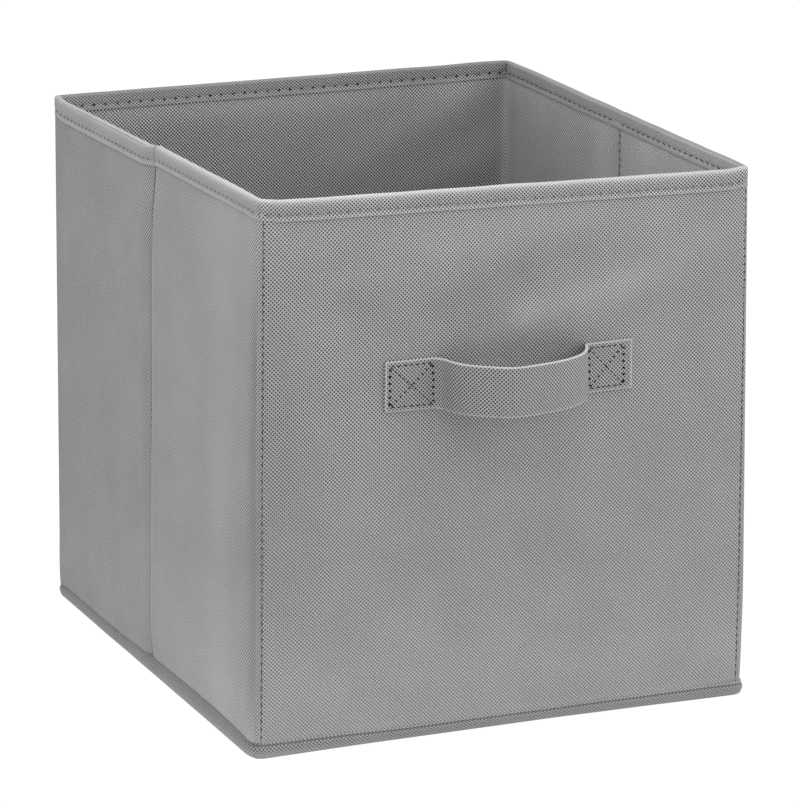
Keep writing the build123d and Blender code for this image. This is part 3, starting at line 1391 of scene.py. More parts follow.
@dataclass
class LiningCloth:
    """The lining of the four walls, which folds at the creases of the sides."""

    shape: ShellShape
    plan: WallPlan
    workshop: Workshop
    grid: float = 3.2 * MM
    foot: float = 5.0 * MM
    rim_tuck: float = 2.0 * MM

    # Painted light under the hem, at the corners, beside the creases and near the rear right corner; painted
    # shade along the creases.
    HEM_LIGHT = Band(1.0, 12.0, 8.0)
    CORNER_LIGHT = Band(0.4, 0.0, 3.0)
    CREASE_SHADE = Band(0.6, 0.0, 0.8)
    CREASE_DOTS = Band(0.55, 3.0, 4.0)
    CREASE_LIGHT = Band(0.25, 18.0, 14.0)
    FOLD_LIGHT = Spot(0.13, (0.0, 55.0), (30.0, 24.0))

    def build(self) -> None:
        """Builds a piece for each wall."""
        high = self.shape.sizes.height - self.rim_tuck
        rows = round((high - self.foot) / self.grid)
        inset = self.shape.sizes.wall
        for side in Side:
            name = side.name.lower()
            start = self.shape.corner(side.value) + inset
            end = self.shape.corner(side.value) + self.shape.side_length(side) - inset
            body = self.plan.crease(side) if side.is_folding else self.wall_body(side)
            halves = self.plan.BODIES[name] if side.is_folding else (name,)
            nodes = tuple(f"{half}_lining" for half in halves)
            run = WallRun(name, start, end, body, nodes, side.is_folding)
            foot = self.foot if side is Side.FRONT else self.shape.foot_level
            piece = ClothPatch(round(run.length / self.grid), rows, flip=True, crisp=True).build(
                self.workshop,
                f"{name}_lining_cloth",
                lambda across, up: self.shape.inner(run.at(across), between(foot, high, up)),
                lambda across, up: Vector((run.at(across), between(foot, high, up), 0)),
                lambda across, up: self.marks(run.at(across), between(foot, high, up)),
            )
            thicken(piece, self.shape.sizes.cloth)
            settle(self.workshop.dress(piece, Finish.LINING), run.body, *run.nodes)
            [f"{half}_board" for half in halves]

    def wall_body(self, side: Side) -> str:
        """The body of the front or back wall."""
        return "front_and_base" if side is Side.FRONT else "back_wall"

    def marks(self, place: float, height: float) -> tuple[float, float, float]:
        """Painted light under the hem, at the corners, ahead of and beside the side creases, and on the
        back's folds and beside its rear right corner; painted shade along the creases; and the pressed dots.
        """
        _, side, along = self.shape.nominal(place)
        edge = self.shape.side_length(side) / 2 - self.shape.sizes.wall - abs(along)
        behind = self.shape.crease_distance(side, along, height)
        drop = self.shape.sizes.height - height
        crease = flat = 0.0
        hem = self.HEM_LIGHT.at(drop)
        # Painted light under the hem and at the corners.
        light = 0.08 * hem + self.CORNER_LIGHT.at(edge)
        if side.is_folding:
            # Painted shade along the crease, and more lower down.
            crease = max(self.CREASE_SHADE.at(behind), 0.06 * smooth_step((drop - 30 * MM) / (25 * MM)))
            flat = 0.55 * smooth_step(edge / (10 * MM)) * (1.0 - self.CREASE_DOTS.at(behind))
            # Painted light ahead of the crease and beside it.
            ahead = smooth_step((15 * MM - behind) / (40 * MM))
            light += 0.3 * ahead + self.CREASE_LIGHT.at(behind)
        elif side is Side.BACK:
            room = self.shape.side_length(side) / 2 - self.shape.sizes.wall
            folds = self.shape.lining_folds(room + along, drop)
            hem *= smooth_step((room + along) / (200 * MM))
            # Painted light on the folds' crests, under the hem and beside the rear right corner.
            light += 0.08 * folds / (2 * self.shape.fold_height) + 0.1 * hem
            light += self.FOLD_LIGHT.at(room + along, drop)
        return light, crease, flat


@dataclass
class RimBinding:
    """The strip folded over the rim."""

    shape: ShellShape
    plan: WallPlan
    workshop: Workshop
    grid: float = 2.0 * MM
    rows: int = 40
    corner_columns: int = 12
    corner_reach: float = 7.0 * MM
    lift: float = 0.5 * MM
    inner_lift: float = 0.35 * MM
    strip: float = 0.5 * MM
    crown: float = 1.1 * MM
    leg_share: float = 0.38
    # Painted highlight on the crown, fading down the outer leg; painted shade on the crown at the back and
    # right.
    crown_light: float = 0.8
    crown_fade: float = 1.9 * MM
    far_crown_shade: float = 0.15

    def build(self) -> None:
        """Builds a piece for each stretch of the perimeter."""
        for run in self.plan.runs("rim_binding", self.corner_reach, self.corner_reach, self.corner_reach):
            cornered = "corner" in run.name
            columns = self.corner_columns if cornered else round(run.length / self.grid)
            piece = ClothPatch(columns, self.rows, crisp=True).build(
                self.workshop,
                f"{run.name}_binding",
                lambda across, up: self.point(run.at(across), up),
                lambda across, up: Vector((run.at(across), self.run_up(up), 0)),
                lambda across, up: self.marks(run.at(across), up),
            )
            thicken(piece, self.strip)
            settle(self.workshop.dress(piece, Finish.BINDING), run.body, *run.nodes)

    def run_up(self, up: float) -> float:
        """The length over the strip from its outer hem, for a share of its section."""
        over = self.shape.sizes.wall + 2 * self.shape.sizes.cloth
        return up * (2 * self.shape.sizes.binding + over)

    def leg_lift(self, place: float, drop: float, sewn: float, lift: float) -> float:
        """How far a leg of the strip stands off the cloth.

        Args:
            place: Distance round the perimeter.
            drop: Depth below the rim.
            sewn: Depth of the row of stitches, which draw the strip in.
            lift: How far the strip stands off where it lies loose.

        Returns:
            The distance.
        """
        hem = smooth_step((drop - sewn) / (2.0 * MM))
        spot = Vector((place / (16 * MM), drop / (20 * MM), 2.0))
        _, side, along = self.shape.nominal(place)
        inside = smooth_step(self.shape.to_edge(side, along) / (20 * MM))
        slack = 0.12 * MM * hem * inside * (1.0 + noise.noise(spot))
        return lift * (0.45 + 0.55 * inside) + slack - 0.22 * MM * bell(drop - sewn, 0.9 * MM)

    def point(self, place: float, up: float) -> Vector:
        """A point on the strip.

        Args:
            place: Distance round the perimeter.
            up: Share of the section, from the outer hem over the rim to the inner hem.

        Returns:
            The point.
        """
        rim = self.shape.rim_height(place)
        if up < self.leg_share:
            deep, sewn = self.shape.binding_leg(place, False)
            drop = between(deep, self.crown, up / self.leg_share)
            return self.shape.outer(place, rim - drop, self.leg_lift(place, drop, sewn, self.lift))
        if up > 1.0 - self.leg_share:
            deep, sewn = self.shape.binding_leg(place, True)
            drop = between(deep, self.crown, (1.0 - up) / self.leg_share)
            return self.shape.inner(place, rim - drop, self.leg_lift(place, drop, sewn, self.inner_lift))
        angle = math.pi * (up - self.leg_share) / (1.0 - 2.0 * self.leg_share)
        level, sewn = rim - self.crown, self.shape.outer_leg[1]
        outside = self.shape.outer(place, level, self.leg_lift(place, self.crown, sewn, self.lift))
        inside = self.shape.inner(place, level, self.leg_lift(place, self.crown, sewn, self.inner_lift))
        across = 0.5 - 0.5 * math.cos(angle)
        return outside.lerp(inside, across) + Vector((0, 0, self.crown * math.sin(angle)))

    def marks(self, place: float, up: float) -> tuple[float, float, float]:
        """Painted highlights on the crown and the hems, painted light on the back and right legs, painted
        shade at the crease, on the far crown and along the hem's edge, and the pressed dots.
        """
        from_hem = min(up, 1.0 - up) / self.leg_share
        crown = smooth_step((from_hem - 1.04) / 0.2)
        # Painted highlight on the hem's fold, and a painted shadow line along its edge.
        hem = 0.2 * bell(from_hem - 0.1, 0.1)
        line = 0.4 * bell(from_hem, 0.035)
        _, side, along = self.shape.nominal(place)
        flat = 0.8 if side.is_folding else 0.0
        onward = smooth_step(0.5 + along / self.shape.side_length(side))
        # Back and right: painted light on the legs, painted shade on the crown.
        if side in (Side.BACK, Side.RIGHT):
            leg = between(0.5, 0.07, onward) if side is Side.RIGHT else 0.15 * onward
            return max(leg, 1.3 * hem) * (1.0 - crown), max(line, self.far_crown_shade * crown), flat
        # Front and left: painted highlight on the crown, fading down the leg.
        light = between(0.42, 0.78, onward) if side is Side.LEFT else between(0.95, 0.8, onward)
        deep, _ = self.shape.binding_leg(place, up > 0.5)
        over = min(max((from_hem - 1.0) / (0.5 / self.leg_share - 1.0), 0.0), 1.0)
        drop = between(deep, self.crown, min(from_hem, 1.0)) - self.crown * math.sin(over * math.pi / 2)
        light *= self.crown_light * math.exp(-((max(drop, 0.0) / self.crown_fade) ** 1.25))
        # Painted shade of the crease.
        dark = 0.4 * self.shape.crease_painted_shade(side, along, self.shape.sizes.height)
        return max(light, hem), max(dark, 0.5 * line), flat


class Row(Enum):
    """The kinds of stitch rows: the pitch, the stitch's length and the thread's width, in millimetres."""

    RIM = (5.2, 3.0, 0.62)
    INNER_RIM = (6.6, 1.8, 0.9)
    INNER_SIDE_RIM = (5.6, 4.2, 0.55)
    SEAM = (4.2, 2.8, 0.5)
    BOX_UPRIGHT = (3.4, 1.5, 1.6)
    BOX_LEVEL = (3.2, 2.6, 0.6)
    BOX_CROSS = (2.7, 2.3, 0.55)
    BOX_DOTS = (3.2, 1.2, 1.1)

    @property
    def pitch(self) -> float:
        """The length from one stitch to the next."""
        return self.value[0] * MM

    @property
    def size(self) -> Vector:
        """Half the length, width and height of a stitch."""
        _, length, width = self.value
        return Vector((length, width, 0.64 * width)) * (MM / 2)

    def middles(self, start: float, end: float) -> list[float]:
        """The middles of the stitches that fill a length."""
        count = max(1, round((end - start) / self.pitch))
        return [between(start, end, (index + 0.5) / count) for index in range(count)]


@dataclass(frozen=True)
class Stitch:
    """One stitch: its kind, its middle, the way that it runs and the way that it faces."""

    row: Row
    middle: Vector
    run: Vector
    face: Vector


@dataclass
class Sewing:
    """The rows of stitches."""

    shape: ShellShape
    workshop: Workshop
    rim_lift: float = 0.45 * MM
    end_margin: float = 3.0 * MM
    seam_lift: float = 0.10 * MM
    crease_lift: float = 0.0
    tilt: float = 0.16
    length_spread: tuple[float, float] = (0.75, 1.15)
    seed: int = 11

    def sew(self, name: str, stitches: Iterable[Stitch], finish: Finish, body: str, *nodes: str) -> None:
        """Makes one piece of a set of stitches, each a little longer, shorter or more askew.

        Args:
            name: The piece's name.
            stitches: The stitches.
            finish: The thread's finish.
            body: The body that the piece follows.
            *nodes: The nodes that it stands for.
        """
        shape = bmesh.new()
        chance = random.Random(self.seed)
        for stitch in stitches:
            face = stitch.face.normalized()
            run = (stitch.run - face * stitch.run.dot(face)).normalized()
            run = (run + face.cross(run) * chance.uniform(-self.tilt, self.tilt)).normalized()
            turn = Matrix((run, face.cross(run), face)).transposed().to_4x4()
            size = stitch.row.size
            size.x *= chance.uniform(*self.length_spread)
            scale = Matrix.Diagonal((*size, 1))
            where = Matrix.Translation(stitch.middle) @ turn @ scale
            bmesh.ops.create_uvsphere(shape, u_segments=6, v_segments=5, radius=1.0, matrix=where)
        piece = self.workshop.dress(self.workshop.piece(name, shape), finish)
        settle(piece, body, *nodes)

    def rim_stitches(self, start: float, end: float, row: Row, inside: bool) -> list[Stitch]:
        """The stitches along a stretch of the rim, on one face of the binding."""
        found = []
        for place in row.middles(start, end):
            _, side, _ = self.shape.nominal(place)
            _, sewn = self.shape.binding_leg(place, inside)
            height = self.shape.rim_height(place) - sewn
            face = -side.outward if inside else side.outward
            point = self.shape.inner if inside else self.shape.outer
            found.append(Stitch(row, point(place, height, self.rim_lift), side.travel, face))
        return found

    def upright_stitches(self, place: float, inside: bool, lift: float, lean: float = 0.0) -> list[Stitch]:
        """The stitches up a wall from the welt to the binding.

        Args:
            place: Perimeter place of the row at the floor.
            inside: Whether the row is on the lining.
            lift: How far the thread stands off the cloth.
            lean: How far the row moves along the perimeter up to the rim.

        Returns:
            The stitches.
        """
        _, side, _ = self.shape.nominal(place)
        low = self.shape.sizes.welt_height + 1.5 * MM
        high = self.shape.sizes.height - self.shape.sizes.binding
        point = self.shape.inner if inside else self.shape.outer
        face = -side.outward if inside else side.outward
        return [
            Stitch(Row.SEAM, point(place + lean * height / self.shape.sizes.height, height, lift),
                   Vector((0, 0, 1)), face)
            for height in Row.SEAM.middles(low, high)
        ]

    def build(self) -> None:
        """Sews the rim, the corners and the creases."""
        shape = self.shape
        hidden = shape.sizes.wall + 2 * shape.sizes.cloth
        middle_left, middle_right = shape.middle(Side.LEFT), shape.middle(Side.RIGHT)
        corner = [shape.corner(index) for index in range(4)]
        rims = {
            "front": (corner[0], corner[1], "front_and_base"),
            "right_front": (corner[1], middle_right, "right_front"),
            "right_rear": (middle_right, corner[2], "right_rear"),
            "back": (corner[2], corner[3], "back_wall"),
            "left_rear": (corner[3], middle_left, "left_rear"),
            "left_front": (middle_left, shape.perimeter, "left_front"),
        }
        for name, (start, end, body) in rims.items():
            outer = self.rim_stitches(start + self.end_margin, end - self.end_margin, Row.RIM, False)
            # Painted light: the front rows get a paler copy of the thread.
            thread = Finish.PALE_THREAD if "front" in name else Finish.THREAD
            self.sew(f"{name}_rim_stitches", outer, thread, body, f"{name}_rim_stitching")
            level = name in ("front", "back")
            row = Row.INNER_RIM if level else Row.INNER_SIDE_RIM
            # Painted shade: the rows inside the bin get darker copies of the thread.
            thread = Finish.BOX_THREAD if level else Finish.DARK_THREAD
            inner = self.rim_stitches(start + hidden, end - hidden, row, True)
            self.sew(f"{name}_inner_rim_stitches", inner, thread, body)
        rear = (shape.back_seam, shape.back_seam)
        for name, first, last, body, begin, finish in (
            ("front", corner[0], corner[1], "front_and_base", shape.left_seam, shape.right_seam),
            ("back", corner[2], corner[3], "back_wall", rear, rear),
        ):
            seams = self.upright_stitches(first + begin[0], False, self.seam_lift, begin[1] - begin[0])
            seams += self.upright_stitches(last - finish[0], False, self.seam_lift, finish[0] - finish[1])
            self.sew(f"{name}_corner_stitches", seams, Finish.DARK_THREAD, body,
                     f"{name}_corner_stitching")
        left_fold = middle_left + shape.crease_shift
        right_fold = middle_right - shape.crease_shift - shape.right_crease_shift
        for name, place, way in (("left", left_fold, 1), ("right", right_fold, -1)):
            lean = way * shape.crease_slant
            low, high = (way * inset for inset in shape.crease_sewn)
            seams = self.upright_stitches(place - low, False, self.crease_lift, lean + low - high)
            seams += self.upright_stitches(place, True, self.seam_lift, lean)
            self.sew(f"{name}_crease_stitches", seams, Finish.DARK_THREAD, f"{name}_rear",
                     f"{name}_crease_stitching")


def slab(
    workshop: Workshop, name: str, low: Vector, high: Vector, rounding: float, segments: int
) -> bpy.types.Object:
    """A board between two corners, with rounded edges and a surface map in metres.

    Args:
        workshop: The maker of pieces.
        name: The piece's name.
        low: Its lowest corner.
        high: Its highest corner.
        rounding: The radius of its edges.
        segments: The steps round an edge.

    Returns:
        The new piece.
    """
    shape = bmesh.new()
    size = high - low
    place = Matrix.Translation((low + high) / 2) @ Matrix.Diagonal((*size, 1))
    bmesh.ops.create_cube(shape, size=1.0, matrix=place)
    bmesh.ops.bevel(shape, geom=shape.edges[:], offset=rounding, segments=segments,
                    profile=0.5, affect="EDGES", material=-1)
    shape.normal_update()
    layer = shape.loops.layers.uv.new(ClothPatch.UV_NAME)
    for face in shape.faces:
        normal = face.normal
        flat = max(range(3), key=lambda axis: abs(normal[axis]))
        kept = [axis for axis in range(3) if axis != flat]
        for loop in face.loops:
            loop[layer].uv = (loop.vert.co[kept[0]], loop.vert.co[kept[1]])
    return workshop.piece(name, shape)


@dataclass
class WallBoards:
    """The boards inside the walls."""

    workshop: Workshop
    end_inset: float = 11.0 * MM
    outer_inset: float = 1.3 * MM
    front_inset: float = 1.8 * MM
    edge_inset: float = 3.0 * MM
    rounding: float = 0.08 * MM

    WALLS = {
        "front": "front_and_base",
        "back": "back_wall",
        "left_front": "left_front",
        "left_rear": "left_rear",
        "right_front": "right_front",
        "right_rear": "right_rear",
    }
    SLACK = {"left_front": Vector((0, 15 * MM, 0))}

    def build(self) -> None:
        """Builds the boards, a little smaller than the pockets that hold them."""
        for wall, body in self.WALLS.items():
            low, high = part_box(f"{wall}_board")
            face = 1 if high.x - low.x > high.y - low.y else 0
            ends = Vector((0, 0, self.edge_inset))
            ends[1 - face] = self.end_inset
            low, high = low + ends + self.SLACK.get(wall, Vector((0, 0, 0))), high - ends
            inset = self.front_inset if wall == "front" else self.outer_inset
            if low[face] < 0:
                low[face] += inset
            else:
                high[face] -= inset
            piece = slab(self.workshop, f"{wall}_stiffener", low, high, self.rounding, 2)
            settle(self.workshop.dress(piece, Finish.BOARD), body, f"{wall}_board")


@dataclass
class BaseSeam:
    """The base cloth and the rolled welt round it."""

    shape: ShellShape
    workshop: Workshop
    columns: int = 520
    rows: int = 56
    panel_grid: int = 80
    wobble: float = 0.35 * MM
    left_turn: tuple[float, float] = (8.0 * MM, 12.0 * MM)
    right_turn: tuple[float, float] = (6.5 * MM, 6.5 * MM)
    rear_turn: tuple[float, float] = (6.0 * MM, 6.0 * MM)
    front_arch: float = 1.2 * MM
    folded_share: float = 0.078

    GROOVE = Band(1.0, 6.9, 0.9)
    # Painted shade in the groove under the upper fold, and under the wall's edge on the sides.
    GROOVE_SHADE = Band(0.45, 6.9, 0.26)
    TOP_SHADE = Band(0.18, 8.3, 0.7)
    SECTION = (
        (-3.2, 0.05), (-2.0, 0.0), (-0.8, 0.2), (0.2, 1.4), (0.8, 3.2), (1.15, 5.0), (0.8, 6.4),
        (-0.3, 6.95), (0.3, 7.3), (0.5, 7.9), (0.1, 8.5), (-1.2, 8.45), (-3.2, 8.4),
    )

    def build(self) -> None:
        """Builds the welt and the base cloth."""
        outline = spline([Vector((out * MM, up * MM, 0)) for out, up in self.SECTION], self.rows + 1)
        lengths = running_lengths(outline)
        welt = ClothPatch(self.columns, self.rows + 1, merge=True).build(
            self.workshop,
            "base_welt_roll",
            lambda across, up: self.point(across * self.shape.perimeter, outline, up),
            lambda across, up: Vector((across * self.shape.perimeter, self.section(lengths, up), 0)),
            lambda across, up: self.marks(across * self.shape.perimeter, outline, up),
        )
        self.place(self.workshop.dress(welt, Finish.WELT), "base_welt")
        low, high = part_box("base_panel")
        panel = ClothPatch(self.panel_grid, self.panel_grid, flip=True).build(
            self.workshop,
            "base_cloth",
            lambda across, up: self.under(low, high, across, up),
            lambda across, up: Vector((across * (high.x - low.x), up * (high.y - low.y), 0)),
        )
        thicken(panel, self.shape.sizes.cloth)
        self.place(self.workshop.dress(panel, Finish.CLOTH), "base_panel")

    def place(self, piece: bpy.types.Object, node: str) -> None:
        """Sets a piece on the front wall's body, to flatten towards it with the fold."""
        settle(piece, "front_and_base", node)
        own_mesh(piece)

    def pick(self, outline: Sequence[Vector], up: float) -> Vector:
        """The section's point for a share of its outline, which closes on its start."""
        index = round(up * len(outline)) % len(outline)
        return outline[index]

    def section(self, lengths: Sequence[float], up: float) -> float:
        """The length along the section for a share of its outline."""
        return lengths[min(round(up * len(lengths)), len(lengths) - 1)]

    def point(self, place: float, outline: Sequence[Vector], up: float) -> Vector:
        """A point on the welt, for a place on the perimeter and a share of the section."""
        out, height = self.pick(outline, up).xy
        flat, outward = self.shape.rounded(place, *self.turn(place))
        filled = (1 - self.groove_share(place)) * self.GROOVE.at(height)
        out = between(out, max(out, 0.6 * MM), filled)
        spot = Vector((place / (34 * MM), height / (12 * MM), 11.0))
        share = smooth_step((out + 2.0 * MM) / (2.5 * MM))
        off = out + self.wobble * share * noise.noise(spot)
        rise = self.wobble * share * noise.noise(spot + Vector((5, 0, 9))) * smooth_step(height / (3 * MM))
        _, side, along = self.shape.nominal(place)
        grown = (height + rise) * self.shape.foot_height(side, along) / self.shape.sizes.welt_height
        return flat + outward * off + Vector((0, 0, grown + self.arch(place, height)))

    def turn(self, place: float) -> tuple[float, float]:
        """How far the welt's corner rounding reaches along the front or back, and along the side."""
        flat, _, _ = self.shape.nominal(place)
        if flat.x < 0 and flat.y < 0:
            return self.left_turn
        return self.right_turn if flat.y < 0 else self.rear_turn

    def arch(self, place: float, height: float) -> float:
        """How far the welt's lower edge stands off the floor in the middle of the front."""
        _, side, along = self.shape.nominal(place)
        if side is not Side.FRONT:
            return 0.0
        middle = 1.0 - (2 * along / self.shape.side_length(side)) ** 2
        return self.front_arch * middle * (1.0 - height / self.shape.sizes.welt_height)

    def under(self, low: Vector, high: Vector, across: float, up: float) -> Vector:
        """A point on the underside of the base cloth, which hangs a little between its edges."""
        spot = Vector((across * 5, up * 5, 3.0))
        edge = smooth_step(min(across, 1 - across, up, 1 - up) / 0.08)
        lift = 0.35 * MM * edge * (0.6 + 0.8 * noise.noise(spot))
        return Vector((between(low.x, high.x, across), between(low.y, high.y, up), low.z + max(lift, 0.0)))

    def groove_share(self, place: float) -> float:
        """How far the welt's upper fold stands apart: fully at the front and back, hardly at the sides."""
        _, side, along = self.shape.nominal(place)
        edge = self.shape.to_edge(side, along)
        return 1.0 - smooth_step(edge / (25 * MM)) if side.is_folding else 1.0

    def marks(self, place: float, outline: Sequence[Vector], up: float) -> tuple[float, float]:
        """Painted light on the welt's lower half and a painted highlight on its upper fold, and painted
        shade in the groove under that fold and, on the sides, under the wall.
        """
        height = self.pick(outline, up).y
        groove = self.groove_share(place) * self.GROOVE_SHADE.at(height)
        _, side, along = self.shape.nominal(place)
        share = 0.5 + along / self.shape.side_length(side)
        near = share if side is Side.LEFT else 1.0 - share / 0.3
        # Painted light on the lower half, more towards the front left corner.
        light = (0.3 + 0.3 * smooth_step(near)) * smooth_step((5.5 * MM - height) / (4 * MM))
        if side.is_folding:
            # Painted shade under the wall's edge.
            under = 0.12 * smooth_step((height - 5 * MM) / (2 * MM)) + self.TOP_SHADE.at(height)
            return light, max(groove, under)
        # Painted highlight on the upper fold.
        return light + 0.35 * smooth_step((height - 7.4 * MM) / (0.8 * MM)), groove


@dataclass
class BaseInsert:
    """The loose covered board in the base."""

    workshop: Workshop
    rounding: float = 1.1 * MM
    board_rounding: float = 0.3 * MM

    def build(self) -> None:
        """Builds the cover and the board inside it."""
        low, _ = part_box("insert_bottom_cover")
        _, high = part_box("insert_top_cover")
        cover = slab(self.workshop, "insert_cloth_cover", low, high, self.rounding, 4)
        settle(self.workshop.dress(cover, Finish.LINING), "base_insert",
               "insert_top_cover", "insert_bottom_cover")
        board = slab(self.workshop, "insert_stiffener", *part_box("insert_board"), self.board_rounding, 2)
        settle(self.workshop.dress(board, Finish.BOARD), "base_insert", "insert_board")


def spline(points: Sequence[Vector], count: int) -> list[Vector]:
    """A smooth line that starts and ends on the first and last points and runs near the others.

    Args:
        points: The points that draw the line.
        count: How many points of the line to give.

    Returns:
        Points evenly spread over the spans of a cubic B-spline.
    """
    held = [points[0]] * 2 + list(points) + [points[-1]] * 2
    spans = len(held) - 3
    line = []
    for index in range(count):
        at = spans * index / (count - 1)
        first = min(int(at), spans - 1)
        t = at - first
        weights = ((1 - t) ** 3, 3 * t**3 - 6 * t**2 + 4, 3 * (t + t**2 - t**3) + 1, t**3)
        parts = (held[first + step] * (weight / 6) for step, weight in enumerate(weights))
        line.append(sum(parts, Vector((0, 0, 0))))
    return line


def running_lengths(line: Sequence[Vector]) -> list[float]:
    """The length from the start of a line to each of its points."""
    lengths = [0.0]
    for before, after in zip(line, line[1:]):
        lengths.append(lengths[-1] + (after - before).length)
    return lengths


def nearest(first: int, last: int, share: float) -> int:
    """The index nearest to a share of the way between two."""
    return round(between(first, last, share))


@dataclass
class StrapHandle:
    """The strap: two sewn ends and the loop between them, in two halves that meet at its soft bend."""

    shape: ShellShape
    workshop: Workshop
    sewing: Sewing
    columns: int = 90
    rows: int = 24
    cup: float = 0.5 * MM
    pressed: float = 0.66
    twist_start: float = 41.0 * MM
    twist_end: float = 29.0 * MM
    lift: float = 1.1 * MM
    end_slope: float = 0.03
    edge_rounding: float = 0.45
    thread_lift: float = 0.12 * MM
    front: float = field(init=False)
    middle_z: float = field(init=False)
    width: float = field(init=False)
    thickness: float = field(init=False)

    LINE = (
        (-66, 0), (-58, 0), (-48, 0), (-42, 0), (-39, 0.2), (-36, 4), (-34.5, 12), (-30, 18.5),
        (-22, 23.5), (-13.5, 29), (-5, 29.2), (8, 26.5), (20, 23.5), (31, 18), (38.5, 10.5), (42, 2.5),
        (43, 0), (46, 0), (52, 0), (60, 0), (68, 0),
    )
    BEND = -12.0 * MM
    SHIFT = Vector((-1.2 * MM, 0, 0))
    LEFT_SHIFT = Vector((0.8 * MM, 0, 0))
    BOX_STRETCH = {"left": 1.6 * MM, "right": -2.4 * MM}

    def __post_init__(self) -> None:
        """Reads the strap's place, width and thickness from the frame."""
        self.front = -self.shape.sizes.depth / 2
        loop_low, loop_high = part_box("handle_loop")
        self.middle_z = (loop_low.z + loop_high.z) / 2
        self.width = loop_high.z - loop_low.z
        _, sewn_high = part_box("handle_left_stitching")
        self.thickness = self.pressed * (self.front - sewn_high.y)

    def build(self) -> None:
        """Builds the two halves and sews their ends."""
        line = spline([Vector((x * MM, out * MM, 0)) for x, out in self.LINE], 4 * self.columns)
        split = min(range(len(line)), key=lambda index: abs(line[index].x - self.BEND))
        lengths = running_lengths(line)
        for name, first, last, sign in (("left", 0, split, -1), ("right", split, len(line) - 1, 1)):
            sewn = 0.0 if sign < 0 else lengths[-1]
            piece = ClothPatch(self.columns, self.rows).build(
                self.workshop,
                f"handle_{name}_strap",
                lambda across, up: self.point(line[nearest(first, last, across)], up),
                lambda across, up: Vector((lengths[nearest(first, last, across)], up * self.width, 0)),
                lambda across, up: self.marks(abs(lengths[nearest(first, last, across)] - sewn), up),
            )
            thicken(piece, self.thickness, 0.0)
            round_edges(piece, self.edge_rounding * self.thickness)
            crossing = Crossing("front_and_base", "handle",
                                Vector((sign * self.twist_start, self.front, self.middle_z)),
                                Vector((sign * self.twist_end, self.front, self.middle_z)))
            settle(self.workshop.dress(piece, Finish.STRAP), crossing, f"handle_{name}_end", "handle_loop")
            self.sew_end(name, sign)

    def point(self, along: Vector, up: float) -> Vector:
        """A point on the middle layer of the strap, for a point of its line and a share of its width."""
        height = self.middle_z + (up - 0.5) * self.width + self.rise(along.x)
        near = 1.0 - smooth_step(along.y / (6 * MM))
        cloth = self.shape.swell(Side.FRONT, along.x, height) * near
        cupped = self.cup * (1.0 - near) * (1.0 - (2 * up - 1) ** 2)
        out = along.y + cupped + cloth + self.thickness / 2 + 0.1 * MM
        return Vector((along.x, self.front - out, height)) + self.SHIFT

    def rise(self, across: float) -> float:
        """How far the strap lies over its level line: a little all along, more at its askew right end."""
        return self.lift + self.end_slope * max(across - 42 * MM, 0.0)

    def marks(self, from_end: float, up: float) -> tuple[float, float]:
        """Painted highlights on the strap's edges, along its length and at its sewn ends."""
        loop = smooth_step((from_end - 22.5 * MM) / (7 * MM))
        edge = max(0.35 * bell(up, 0.02), between(0.55, 0.85, loop) * bell(1 - up, 0.02))
        return max(edge, 0.45 * bell(from_end, 0.9 * MM)), 0.0

    def sew_end(self, name: str, sign: int) -> None:
        """Sews a square with its two diagonals on one end of the strap."""
        low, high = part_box(f"handle_{name}_stitching")
        shift = self.LEFT_SHIFT if sign < 0 else self.SHIFT
        low, high = low + shift, high + shift + Vector((self.BOX_STRETCH[name], 0, 0))
        corners = [Vector((low.x, 0, low.z)), Vector((high.x, 0, low.z)),
                   Vector((high.x, 0, high.z)), Vector((low.x, 0, high.z))]
        lines = (
            (0, 1, Row.BOX_LEVEL), (3, 2, Row.BOX_LEVEL), (0, 3, Row.BOX_UPRIGHT), (1, 2, Row.BOX_UPRIGHT),
            (0, 2, Row.BOX_DOTS), (1, 3, Row.BOX_CROSS),
        )
        stitches = []
        for first, last, row in lines:
            start, end = corners[first], corners[last]
            run = (end - start).normalized()
            for at in row.middles(0.0, (end - start).length):
                flat = start + run * at
                flat.z += self.rise(flat.x)
                off = self.shape.swell(Side.FRONT, flat.x, flat.z) + self.thickness + self.thread_lift
                point = Vector((flat.x, self.front - off, flat.z))
                stitches.append(Stitch(row, point, run, Side.FRONT.outward))
        # Painted shade: black thread stands for the shade in the needle holes.
        self.sewing.sew(f"handle_{name}_stitches", stitches, Finish.BOX_THREAD, "front_and_base",
                        f"handle_{name}_stitching")


